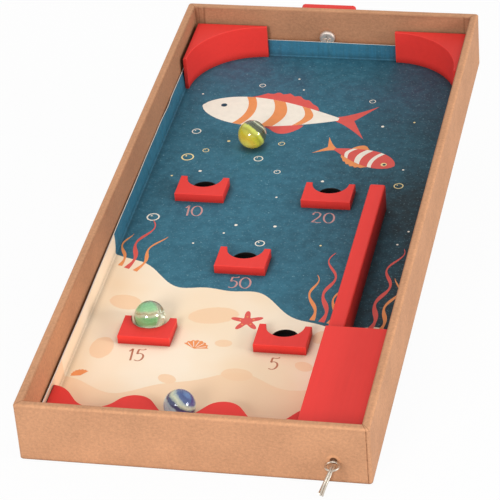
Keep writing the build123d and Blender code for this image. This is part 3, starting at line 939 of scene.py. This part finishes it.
def card_fold(name, start, run, way, lean):
    """One folded strip of the card: its points, its print's places, its faces and slots.

    It leaves the upright by rise^1.5 * (lean + two sines along it). The left one leans on the
    wall from 120 mm up the field and curls in at CURL_Y, and the back one is cut lower.
    """
    section = flap_profile()
    half = len(section) // 2
    travel = np.concatenate([[0], np.cumsum(np.linalg.norm(np.diff(section, axis=0), axis=1))])
    travel = np.where(np.arange(len(section)) < half, travel, travel[-1] - travel)
    out, up = section.T[:, None, :]
    rise = np.clip(up / (FLAP_TOP - FIELD), 0, 1)
    r = run[:, None]
    wave = 0.10 * np.sin(r / 23 + start) + 0.05 * np.sin(r / 9.1)
    if name == "back":
        up = up * (0.95 - 0.10 * r / WIDTH)
    if name == "left":
        wave = wave + 0.85 * np.clip((r - 120) / 130, 0, 1) - 0.55 * bell(r - CURL_Y, 9)
    push = out + rise ** 1.5 * (lean + wave)
    turn = way[0] + way[1]
    across, spread, r, z = np.broadcast_arrays(start + turn * push, start + turn * travel, r,
                                               FIELD + up + 0 * push)
    order = (0, 1) if way[0] else (1, 0)
    points = np.stack([*((across, r)[k] for k in order), z], 2)
    sheet = np.stack([(spread, r)[k] for k in order], 2)
    faces = grid_faces(len(run), len(section))
    if name in ("left", "back"):
        faces = faces[:, ::-1]
    column = np.tile(np.arange(len(section) - 1), len(run) - 1)
    slots = np.where(column < half - 1, PRINTED, CUT_EDGE)
    return points.reshape(-1, 3), sheet.reshape(-1, 2), faces, list(slots)


def play_card(materials):
    """The printed card: a flat field with the cup holes, and a folded strip on each side."""
    points, uv, faces, slots = card_field()
    for fold in FOLDS:
        more_points, more_uv, more_faces, more_slots = card_fold(*fold)
        faces += (more_faces + len(points)).tolist()
        points = np.vstack([points, more_points])
        uv = np.vstack([uv, more_uv])
        slots += more_slots
    piece = make_piece("play_card", points, faces, materials, "printed_card", which=slots,
                       uv=uv / 100, merge=0.00001)
    bake_modifiers(piece)
    mark_sharp(piece, 40)
    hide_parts("print_card")


# ---- printed motifs ----


def signed_area(flat, faces):
    """Twice the area of the faces, negative if they turn clockwise."""
    x, y = flat[faces, 0], flat[faces, 1]
    return (x * np.roll(y, -1, 1) - y * np.roll(x, -1, 1)).sum()


def ribbon(points, widths):
    """A flat ribbon along 2D points: each point moved half a width to either side."""
    points = np.asarray(points, float)
    way = np.gradient(points, axis=0)
    way /= np.linalg.norm(way, axis=1)[:, None]
    side = np.stack([-way[:, 1], way[:, 0]], 1) * np.asarray(widths)[:, None] / 2
    grid = np.stack([points - side, points + side], 1)
    return grid.reshape(-1, 2), grid_faces(len(points), 2)


def patch(x, y):
    """A flat patch from two grids of coordinates."""
    x, y = np.broadcast_arrays(x, y)
    return np.stack([x, y], 2).reshape(-1, 2), grid_faces(*x.shape)


def polar(x, y, inner, outer, count=40):
    """A ring or disc round a centre; outer may be a function of the angle."""
    a = np.linspace(0, math.tau, count + 1)
    far = outer(a) if callable(outer) else np.full(count + 1, outer)
    r = np.stack([np.full(count + 1, inner), far])
    return patch(x + r * np.cos(a), y + r * np.sin(a))


def smooth_line(knots, steps=14):
    """A curve through knots: a Catmull-Rom spline worked out for all its spans at once."""
    p = np.asarray(knots, float)
    p = np.vstack([2 * p[0] - p[1], p, 2 * p[-1] - p[-2]])
    t = np.linspace(0, 1, steps, endpoint=False)[None, :, None]
    a, b, c, d = (p[k:len(p) - 3 + k, None, :] for k in range(4))
    line = 0.5 * (2 * b + (c - a) * t + (2 * a - 5 * b + 4 * c - d) * t ** 2
                  + (3 * b - a - 3 * c + d) * t ** 3)
    return np.vstack([line.reshape(-1, p.shape[1]), p[-2]])


def turned(shape, x, y, degrees, scale=1.0):
    """A flat shape turned, scaled and moved to its place on the card."""
    points, faces = shape
    a = math.radians(degrees)
    spin = np.array([[math.cos(a), math.sin(a)], [-math.sin(a), math.cos(a)]])
    return points * scale @ spin + (x, y), faces


# The print's ink that is in no setting
DARK_INK = linear(34, 66, 84)


class Print:
    """Flat shapes, gathered by their ink into one thin piece each on the card."""

    def __init__(self):
        self.layers = {}

    def lay(self, ink, level, *shapes):
        self.layers.setdefault(ink, []).extend((level, *shape) for shape in shapes)

    def make(self, materials):
        for ink, shapes in self.layers.items():
            points, faces, total = [], [], 0
            for level, flat, quads in shapes:
                quads = quads[:, ::-1] if signed_area(flat, quads) < 0 else quads
                points.append(np.column_stack([flat, np.full(len(flat), FIELD + 0.02 * level)]))
                faces += (quads + total).tolist()
                total += len(flat)
            make_piece("print_" + ink, np.vstack(points), faces, [materials[ink]],
                       "printed_card", smooth=False)


def fish(card, x, y, degrees, length, high, body, fins, marks, eye_rim="cream"):
    """A plain fish that swims along -X before it is turned.

    Half its height at s from nose 0 to tail 1 is high * sin(pi s^0.72)^0.85 * (1 - 0.15 s).
    """
    b = np.linspace(-1, 1, 13)[None, :]
    v = np.linspace(0, 1, 5)[None, :]

    def at(s, side):
        half = high * np.sin(np.pi * np.clip(s, 0, 1) ** 0.72) ** 0.85 * (1 - 0.15 * s)
        return (s - 0.5) * length, side * half + 0.05 * length * (s - 0.5) ** 2

    def put(ink, level, shape):
        card.lay(ink, level, turned(shape, x, y, degrees))

    t = np.linspace(0, 1, 16)[:, None]
    tail = high * (0.16 + 0.95 * t ** 1.3)
    notch = 0.12 * length * (1 - np.abs(b)) * t
    put(fins, 1, patch((0.46 + 0.24 * t) * length - notch, b * tail + 0.01 * length))
    # Each fin: its side, where it starts and ends, its steps, size, power, ripple and lean
    for side, start, end, steps, size, power, ripple, back in (
            (1, 0.25, 0.75, 24, 0.55, 0.6, 0.12, 0.06), (-1, 0.45, 0.68, 14, 0.5, 0.7, 0, 0.08)):
        u = np.linspace(start, end, steps)[:, None]
        fin_x, fin_y = at(u, side)
        arch = np.clip(np.sin((u - start) / (end - start) * np.pi), 0, 1) ** power
        crest = high * size * arch * (1 + ripple * np.sin(u * 80))
        put(fins, 1, patch(fin_x + back * length * v, fin_y + side * (v * crest - 1)))
    put(body, 2, patch(*at(np.linspace(0.001, 0.97, 46)[:, None], b)))
    for start, end in ((0.27, 0.33), (0.46, 0.55), (0.68, 0.74)):
        across = np.linspace(0, 1, 6)[:, None]
        mark = start + (end - start) * across + 0.05 * (1 - b ** 2)
        put(marks, 3, patch(*at(mark, b * 0.995)))
    eye_x, eye_y = at(0.15, 0.25)
    put(eye_rim, 4, polar(eye_x, eye_y, 0, high * 0.2, 28))
    put("dark", 5, polar(eye_x - 0.3, eye_y, 0, high * 0.11, 24))


def frond(x, y, height, lean, waves, width):
    """A weed: a ribbon up a sine line that narrows to its tip."""
    t = np.linspace(0, 1, 60)
    sway = width * 1.1 * np.sin(t * waves * math.tau) * (0.4 + 0.6 * t)
    beat = 0.75 + 0.25 * np.cos(t * waves * 2 * math.tau)
    return ribbon(np.stack([x + lean * t + sway, y + height * t], 1),
                  width * (1 - t) ** 0.55 * beat + 0.15)


# Each weed: its foot, height, lean, waves, width and ink
WEEDS = ((15, 158, 46, 4, 1.5, 3.0, "coral"), (20, 156, 33, 8, 1.2, 2.6, "orange"),
         (11, 160, 30, -2, 1.2, 2.4, "orange"), (126, 121, 62, -3, 2.0, 3.0, "coral"),
         (121, 122, 40, -6, 1.4, 2.6, "orange"), (130, 120, 36, 1, 1.3, 2.4, "orange"),
         (151, 116, 74, 5, 2.4, 3.0, "coral"), (156, 115, 48, 4, 1.7, 2.6, "orange"))
# Where no bubble lies, beside the cups: a middle and a radius
KEEP_CLEAR = ((62, 318, 24), (40, 318, 20), (85, 318, 24), (105, 318, 16), (122, 277, 25),
              (16, 180, 16), (126, 150, 22), (154, 150, 12), (76, 150, 12), (40, 214, 12),
              (110, 214, 12))
BUBBLES = 30
# Where bubbles may lie, but for the far corners under the deflectors
WATER_X = (14, 158)
WATER_Y = (178, 374)


def bubbles(card):
    """Rings and dots strewn over the water, clear of everything else and of each other."""
    draw = np.random.default_rng(11)
    clear = [(x, y + 6, 19) for x, y in CUPS.values()] + list(KEEP_CLEAR)
    kept = 0
    while kept < BUBBLES:
        x, y = draw.uniform(*WATER_X), draw.uniform(*WATER_Y)
        r = draw.choice([0.9, 1.3, 1.9, 2.7, 3.6], p=[0.3, 0.27, 0.2, 0.15, 0.08])
        in_corner = y > 340 and not 50 <= x <= 122
        if in_corner or any(math.hypot(x - a, y - b) < c + r for a, b, c in clear):
            continue
        ink = "yellow" if kept % 4 == 0 else "cream"
        if r > 1.5:
            card.lay(ink, 1, polar(x, y, r * 0.78, r, 36),
                     polar(x - r * 0.3, y + r * 0.3, 0, r * 0.16, 14))
        else:
            card.lay(ink, 1, polar(x, y, 0, r * 0.7, 20))
        clear.append((x, y, r + 6))
        kept += 1


def sea_picture(card):
    """The generic sea design: two fish, weeds, bubbles, a starfish and shells."""
    fish(card, 62, 318, -6, 84, 16, "cream", "coral", "orange")
    fish(card, 122, 277, 158, 40, 8.5, "coral", "orange", "cream", "yellow")
    for *weed, ink in WEEDS:
        card.lay(ink, 1, frond(*weed))
    bubbles(card)
    star = polar(0, 0, 0, lambda a: 6.0 + 3.1 * np.cos(5 * a) + 0.5 * np.cos(10 * a), 120)
    card.lay("coral", 1, turned(star, 88, 118, 24, 0.9))
    for a in np.radians(range(24, 384, 72)):
        card.lay("orange", 2, polar(88 + 3.6 * math.cos(a), 118 + 3.6 * math.sin(a), 0, 0.55, 14))
    a = np.linspace(math.radians(20), math.radians(160), 40)[:, None]
    r = np.linspace(0, 1, 6)[None, :] * (7.0 + 0.35 * np.cos(a * 18))
    shell = patch(r * np.cos(a), r * np.sin(a))
    card.lay("orange", 1, turned(shell, 66, 92, -14), turned(shell, 14, 64, 30, 0.7))
    for a in np.radians(np.linspace(35, 145, 5)):
        rib = np.linspace(1.5, 6.2, 8)[:, None] * [[math.cos(a), math.sin(a)]]
        card.lay("cream", 2, turned(ribbon(rib, np.linspace(0.25, 0.5, 8)), 66, 92, -14))


def oval(x, y, half_wide, half_high):
    a = np.linspace(0, math.tau, 61)
    return np.stack([x + half_wide * np.cos(a), y + half_high * np.sin(a)], 1)


# Each digit's width and its strokes, as shares of its height
DIGITS = {
    "0": (0.80, [oval(0.36, 0.5, 0.33, 0.48)]),
    "1": (0.42, [smooth_line(((0.02, 0.76), (0.12, 0.86), (0.22, 0.99))),
                 smooth_line(((0.22, 0.99), (0.215, 0.66), (0.21, 0.33), (0.20, 0.0)))]),
    "2": (0.74, [smooth_line(((0.04, 0.74), (0.10, 0.91), (0.29, 1.0), (0.49, 0.90),
                              (0.51, 0.70), (0.38, 0.46), (0.18, 0.22), (0.02, 0.02))),
                 smooth_line(((0.02, 0.02), (0.22, 0.045), (0.40, 0.0), (0.62, 0.05)))]),
    "5": (0.66, [smooth_line(((0.17, 0.97), (0.34, 0.94), (0.50, 0.96), (0.60, 1.03))),
                 smooth_line(((0.17, 0.97), (0.14, 0.78), (0.11, 0.58))),
                 smooth_line(((0.11, 0.58), (0.27, 0.64), (0.45, 0.56), (0.51, 0.36),
                              (0.42, 0.12), (0.22, 0.0), (0.0, 0.06)))]),
}
NUMBERS = (("10", 38.9, 215.0, "pink_number"), ("20", 110.3, 215.0, "pink_number"),
           ("50", 77.7, 151.0, "pink_number"), ("15", 38.2, 83.8, "brown_number"),
           ("5", 108.7, 84.0, "brown_number"))
NUMBER_HIGH = 9.8
NUMBER_SLANT = -0.09
NUMBER_SQUEEZE = 0.86
THIN_STROKE = 0.50
THICK_STROKE = 1.0


def number_shapes(text, x, y):
    """A number in pen strokes, wide where they run down and thin where they run across."""
    shapes, pen = [], 0.0
    for digit in text:
        wide, strokes = DIGITS[digit]
        for stroke in strokes:
            line = stroke * (NUMBER_HIGH * NUMBER_SQUEEZE, NUMBER_HIGH)
            line[:, 0] += pen + NUMBER_SLANT * line[:, 1]
            way = np.gradient(line, axis=0)
            down = np.abs(way[:, 1]) / np.linalg.norm(way, axis=1)
            widths = THIN_STROKE + (THICK_STROKE - THIN_STROKE) * down ** 2
            shapes.append(ribbon(line, widths))
        pen += wide * NUMBER_HIGH * NUMBER_SQUEEZE
    wide = pen + (NUMBER_SLANT - 0.06) * NUMBER_HIGH
    return [(flat + (x - wide / 2, y - NUMBER_HIGH / 2), quads) for flat, quads in shapes]


# ---- marbles ----


def sphere_points(centre, radius, rows=49, columns=96):
    """A sphere from latitude and longitude, with one point at each pole."""
    a = np.linspace(0, math.pi, rows)[1:-1, None]
    b = np.linspace(0, math.tau, columns, endpoint=False)[None, :]
    ring = np.stack([np.sin(a) * np.cos(b), np.sin(a) * np.sin(b), np.cos(a) + 0 * b], 2)
    points = np.vstack([ring.reshape(-1, 3), [(0, 0, 1)], [(0, 0, -1)]]) * radius + centre
    north = (rows - 2) * columns
    south = north + 1
    last = north - columns
    i = np.arange(columns)
    j = np.roll(i, -1)
    faces = grid_faces(rows - 2, columns, False, True)[:, ::-1].tolist()
    faces += np.stack([i, j, np.full(columns, north)], 1).tolist()
    faces += np.stack([last + j, last + i, np.full(columns, south)], 1).tolist()
    return points, faces


def swirl_shell(centre, wave):
    """The sheet of coloured glass inside a marble: a sphere whose radius rises and falls.

    Radius = 0.9 R + two small sines of the longitude and the latitude.
    """
    points, faces = sphere_points(np.zeros(3), 1.0, 37, 72)
    around = np.arctan2(points[:, 1], points[:, 0])
    up = np.arcsin(np.clip(points[:, 2], -1, 1))
    shape = np.cos(up) * (np.sin(3 * around + 2 * up) + 0.6 * np.sin(5 * up + around))
    radius = MARBLE_R * (0.90 + wave * 0.10 * shape)
    return centre + points * radius[:, None], faces


# Each marble's looks. bands: where each lies from -1 to 1, its colour and its density
MARBLES = {
    "green_marble": dict(
        tint=(232, 246, 236), across=(-0.083, 0.471, 0.878), along=(0.662, 0.639, -0.393),
        wave=-0.04, clear=(-0.12, 0.16),
        bands=((-1.0, (226, 224, 190), 0.1), (-0.60, (190, 216, 168), 0.35),
               (-0.44, (98, 174, 104), 0.85), (0.00, (112, 184, 116), 0.85),
               (0.10, (196, 206, 164), 0.6), (0.19, (214, 204, 166), 0.65),
               (0.26, (158, 130, 92), 1.0), (0.32, (210, 198, 158), 0.8),
               (0.44, (150, 204, 148), 0.9), (0.80, (130, 196, 142), 0.9),
               (0.96, (96, 140, 96), 0.3))),
    "blue_marble": dict(
        tint=(236, 242, 246), across=(0.507, 0.205, 0.837), along=(0.863, -0.126, -0.489),
        wave=0.04, clear=(1.2, 1.6),
        bands=((-1.0, (190, 204, 206), 0.8), (0.0, (182, 198, 200), 0.9),
               (0.09, (62, 72, 112), 1.0), (0.28, (50, 58, 106), 1.0),
               (0.35, (166, 174, 156), 1.0), (0.46, (214, 212, 178), 1.0),
               (0.58, (184, 192, 180), 1.0), (0.65, (74, 96, 146), 1.0),
               (0.80, (46, 70, 130), 1.0), (0.90, (92, 126, 176), 1.0),
               (1.0, (50, 74, 128), 1.0))),
    "yellow_marble": dict(
        tint=(244, 246, 216), across=(0.628, 0.699, 0.341), along=(-0.687, 0.293, 0.664),
        wave=0.10, clear=(1.2, 1.6),
        bands=((-1.0, (232, 222, 110), 1.0), (-0.70, (222, 190, 56), 1.0),
               (-0.40, (206, 196, 44), 1.0), (-0.18, (176, 170, 36), 1.0),
               (-0.04, (208, 210, 84), 1.0), (0.10, (214, 218, 104), 1.0),
               (0.18, (84, 92, 66), 0.8), (0.40, (74, 82, 68), 0.75),
               (0.54, (110, 116, 96), 0.7), (0.62, (238, 240, 222), 0.95),
               (0.72, (104, 104, 56), 0.7))),
}


def marble(name):
    """One marble: a glass ball round a shell of coloured bands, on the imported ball's place."""
    middle = np.mean(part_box(name), axis=0)
    centre = (TURN.T @ (middle - SHIFT)) * 1000
    looks = MARBLES[name]
    slot = name.split("_")[0] + "_glass"
    glass = glass_material(name + "_glass", linear(*looks["tint"]))
    ball = make_piece(name + "_glass", *sphere_points(centre, MARBLE_R), [glass], slot, body=name)
    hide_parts(name)
    swirl = swirl_material(name + "_swirl", centre, looks)
    make_piece(name + "_swirl", *swirl_shell(centre, 0.3), [swirl], slot, body=name)


# ---- hardware ----


def plunger_spring(material):
    """The plunger's spring: a round wire wound at a steady pitch, drawn together by a pull.

    Middle of the wire = (X + R cos a, Y0 + pitch * a / tau, Z - R sin a).
    """
    ends = SPRING_WIRE / 2 + 0.05
    room = FLANGE_Y - SEAT_Y
    rise = (room - 2 * ends) / (SPRING_TURNS * math.tau)
    a = np.linspace(0, SPRING_TURNS * math.tau, SPRING_TURNS * SPRING_STEPS + 1)[:, None]
    out = np.cos(a) * (1, 0, 0) - np.sin(a) * (0, 0, 1)
    middle = SPRING_R * out + (WIRE_X, SEAT_Y + ends, WIRE_Z) + rise * a * (0, 1, 0)
    way = rise * np.array([0, 1, 0]) - SPRING_R * (np.sin(a) * (1, 0, 0) + np.cos(a) * (0, 0, 1))
    way /= np.linalg.norm(way, axis=1)[:, None]
    side = np.cross(way, out)
    b = np.linspace(0, math.tau, SPRING_SIDES + 1)[:-1, None]
    across = out[:, None, :] * np.cos(b) + side[:, None, :] * np.sin(b)
    points = middle[:, None, :] + across * SPRING_WIRE / 2
    piece = make_piece("plunger_spring_coil", points.reshape(-1, 3),
                       tube_faces(*points.shape[:2]), [material], "steel")
    mark_sharp(piece, 50)
    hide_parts("plunger_spring")
    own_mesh(piece)


def finish_nodes(material, *names):
    """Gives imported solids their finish."""
    for name in names:
        mesh = NODES[name].data
        mesh.materials.clear()
        mesh.materials.append(material)


# ---- operators ----


class PINBALL_OT_walls(bpy.types.Operator):
    """Wraps the walls in kraft paper"""
    bl_idname = "pinball.walls"
    bl_label = "Kraft walls"

    def execute(self, context):
        settings = context.scene.pinball_wrap
        wrapped_walls(settings, kraft_material(settings))
        return {"FINISHED"}


class PINBALL_OT_boards(bpy.types.Operator):
    """Finishes the base board and the drilled deck board"""
    bl_idname = "pinball.boards"
    bl_label = "Boards"

    def execute(self, context):
        kraft = tuple(context.scene.pinball_wrap.paper)
        for name, below, above in (("base_board", kraft, linear(14, 14, 15)),
                                   ("deck_board", linear(60, 48, 40), linear(26, 22, 20))):
            finish_nodes(board_material(name, below, above), name)
        return {"FINISHED"}


class PINBALL_OT_card(bpy.types.Operator):
    """Folds the printed card into the tray"""
    bl_idname = "pinball.card"
    bl_label = "Printed card"

    def execute(self, context):
        cut = ink_material("card_cut_edge", linear(232, 228, 220), 0.85)
        dark = ink_material("card_hole_edge", linear(52, 50, 48), 0.85)
        play_card([card_material(context.scene.pinball_card), cut, dark])
        return {"FINISHED"}


class PINBALL_OT_print(bpy.types.Operator):
    """Prints the sea design and the numbers on the card"""
    bl_idname = "pinball.print"
    bl_label = "Print"

    def execute(self, context):
        settings = context.scene.pinball_card
        card = Print()
        sea_picture(card)
        for text, x, y, ink in NUMBERS:
            card.lay(ink, 1, *number_shapes(text, x, y))
        card.make({ink: ink_material("ink_" + ink, getattr(settings, ink, DARK_INK))
                   for ink in card.layers})
        return {"FINISHED"}


class PINBALL_OT_paint(bpy.types.Operator):
    """Paints the wooden pieces red"""
    bl_idname = "pinball.paint"
    bl_label = "Red wood"

    def execute(self, context):
        settings = context.scene.pinball_paint
        finish_nodes(paint_material(settings), *RED_NODES)
        # The divider's paint darkens further and more strongly into its crevices: painted shade on
        # its sides, darkest at its foot.
        finish_nodes(paint_material(settings, "red_paint_bar", 0.016, 0.92), "lane_divider")
        return {"FINISHED"}


class PINBALL_OT_marbles(bpy.types.Operator):
    """Makes the glass marbles"""
    bl_idname = "pinball.marbles"
    bl_label = "Marbles"

    def execute(self, context):
        for name in MARBLES:
            marble(name)
        return {"FINISHED"}


class PINBALL_OT_hardware(bpy.types.Operator):
    """Finishes the plunger, its ring and spring, and the leg's bolt"""
    bl_idname = "pinball.hardware"
    bl_label = "Hardware"

    def execute(self, context):
        plated = metal_material("plated_steel", linear(212, 202, 188), 0.38)
        satin = metal_material("satin_steel", linear(228, 217, 207), 0.50)
        steel = metal_material("drawn_steel", linear(178, 176, 172), 0.30)
        finish_nodes(plated, "split_ring", "plunger_wire")
        finish_nodes(satin, "pivot_bolt", "pivot_nut")
        finish_nodes(steel, "spring_seat_washer", "inner_washer", "outer_washer")
        plunger_spring(steel)
        finish_nodes(plain_wood_material(), "striker")
        finish_nodes(felt_material(), "striker_bumper")
        return {"FINISHED"}


# ---- stage ----

# Where the camera is and its directions, in the tray's frame
CAMERA_AT = (363.1, -957.2, 801.2)
CAMERA_RIGHT = (0.97789, 0.19731, -0.06927)
CAMERA_UP = (-0.0554, 0.5636, 0.8241)
# The softboxes, in metres
FRONT_BOX_AT = (-0.485, -2.283, 0.90)
SIDE_BOX_AT = (2.235, -0.77, 0.81)
SOFTBOX_SIZE = 0.78
LAMPS_FACE = Vector((0, 0, 0.03))
# The floor, in metres, and how much of it a lens sees as plain white
FLOOR_HALF = 4.0
FLOOR_BELOW = 0.0005
FLOOR_GLOW = 0.955


def add_camera(lens):
    """A camera at the picture's place, built from its right and up directions."""
    data = bpy.data.cameras.new("camera")
    data.lens = lens
    data.sensor_width = 36.0
    data.clip_end = 50
    right, up = TURN @ CAMERA_RIGHT, TURN @ CAMERA_UP
    right /= np.linalg.norm(right)
    up -= right * (right @ up)
    up /= np.linalg.norm(up)
    pose = np.eye(4)
    pose[:3, :3] = np.stack([right, up, np.cross(right, up)], 1)
    pose[:3, 3] = place(CAMERA_AT)[0]
    camera = add_object("camera", data)
    camera.matrix_world = Matrix(pose.tolist())
    bpy.context.scene.camera = camera


def add_softbox(name, at, power):
    """A round area lamp that faces the middle of the tray."""
    data = bpy.data.lights.new(name, "AREA")
    data.shape = "DISK"
    data.size = SOFTBOX_SIZE
    data.energy = power
    lamp = add_object(name, data)
    lamp.location = at
    lamp.rotation_euler = (LAMPS_FACE - Vector(at)).to_track_quat("-Z", "Y").to_euler()


def floor_material():
    """A pale floor that a lens, a mirror or glass sees as white but for the shadow."""
    material, n, shader, where = new_material("floor", Roughness=0.9)
    tone = n.noise(where, 0.01, 2) * 0.02 + 0.74
    n.feed(shader, Base_Color=n.tint((1, 1, 1), tone))
    path = n.add("LightPath").outputs
    seen = n.math("MAXIMUM", path["Is Camera Ray"], path["Is Glossy Ray"])
    seen = n.math("MAXIMUM", seen, path["Is Transmission Ray"])
    glow = n.add("Emission", {"Strength": 1.0})
    both = n.add("MixShader", {0: seen * FLOOR_GLOW, 1: shader.outputs[0], 2: glow.outputs[0]})
    n.feed(n.tree.nodes["Material Output"], Surface=both.outputs[0])
    return material


def add_floor():
    """A wide plane just under the tray's lowest point."""
    corners = [(x * FLOOR_HALF, y * FLOOR_HALF, -FLOOR_BELOW)
               for x, y in ((-1, -1), (1, -1), (1, 1), (-1, 1))]
    mesh = bpy.data.meshes.new("floor")
    mesh.from_pydata(corners, [], [(0, 1, 2, 3)])
    mesh.materials.append(floor_material())
    add_object("floor", mesh)


def light_world(strength):
    """Even white light, and plain white where a camera or glass sees it."""
    world = bpy.data.worlds.new("studio")
    bpy.context.scene.world = world
    world.use_nodes = True
    n = Nodes(world.node_tree)
    background = world.node_tree.nodes["Background"]
    path = n.add("LightPath").outputs
    seen = n.math("MAXIMUM", path["Is Camera Ray"], path["Is Transmission Ray"])
    background.inputs["Color"].default_value = (1, 1, 1, 1)
    n.feed(background, Strength=seen * (1 - strength) + strength)


class PINBALL_OT_stage(bpy.types.Operator):
    """Sets up the floor, the lights and the camera"""
    bl_idname = "pinball.stage"
    bl_label = "Stage"

    def execute(self, context):
        settings = context.scene.pinball_stage
        add_floor()
        light_world(settings.sky)
        add_softbox("front_box", FRONT_BOX_AT, settings.front_box)
        add_softbox("side_box", SIDE_BOX_AT, settings.side_box)
        add_camera(settings.lens)
        context.scene.view_settings.view_transform = "Standard"
        return {"FINISHED"}


class PINBALL_PT_panel(bpy.types.Panel):
    """Lists the game's pieces"""
    bl_label = "Pinball game"
    bl_idname = "PINBALL_PT_panel"
    bl_space_type = "VIEW_3D"
    bl_region_type = "UI"
    bl_category = "Pinball"

    def draw(self, context):
        for operator in OPERATORS:
            self.layout.operator(operator.bl_idname)
        for name in SETTINGS:
            settings = getattr(context.scene, name)
            box = self.layout.box()
            for key in settings.__annotations__:
                box.prop(settings, key)


OPERATORS = (PINBALL_OT_walls, PINBALL_OT_boards, PINBALL_OT_card, PINBALL_OT_print,
             PINBALL_OT_paint, PINBALL_OT_marbles, PINBALL_OT_hardware, PINBALL_OT_stage)
SETTINGS = {"pinball_wrap": WrapSettings, "pinball_card": CardSettings,
            "pinball_paint": PaintSettings, "pinball_stage": StageSettings}
CLASSES = (*SETTINGS.values(), *OPERATORS, PINBALL_PT_panel)


def register():
    for each in CLASSES:
        bpy.utils.register_class(each)
    for name, group in SETTINGS.items():
        setattr(bpy.types.Scene, name, bpy.props.PointerProperty(type=group))


def unregister():
    for name in SETTINGS:
        delattr(bpy.types.Scene, name)
    for each in reversed(CLASSES):
        bpy.utils.unregister_class(each)


def main():
    register()
    for operator in OPERATORS:
        area, name = operator.bl_idname.split(".")
        getattr(getattr(bpy.ops, area), name)()


if __name__ == "__main__":
    main()
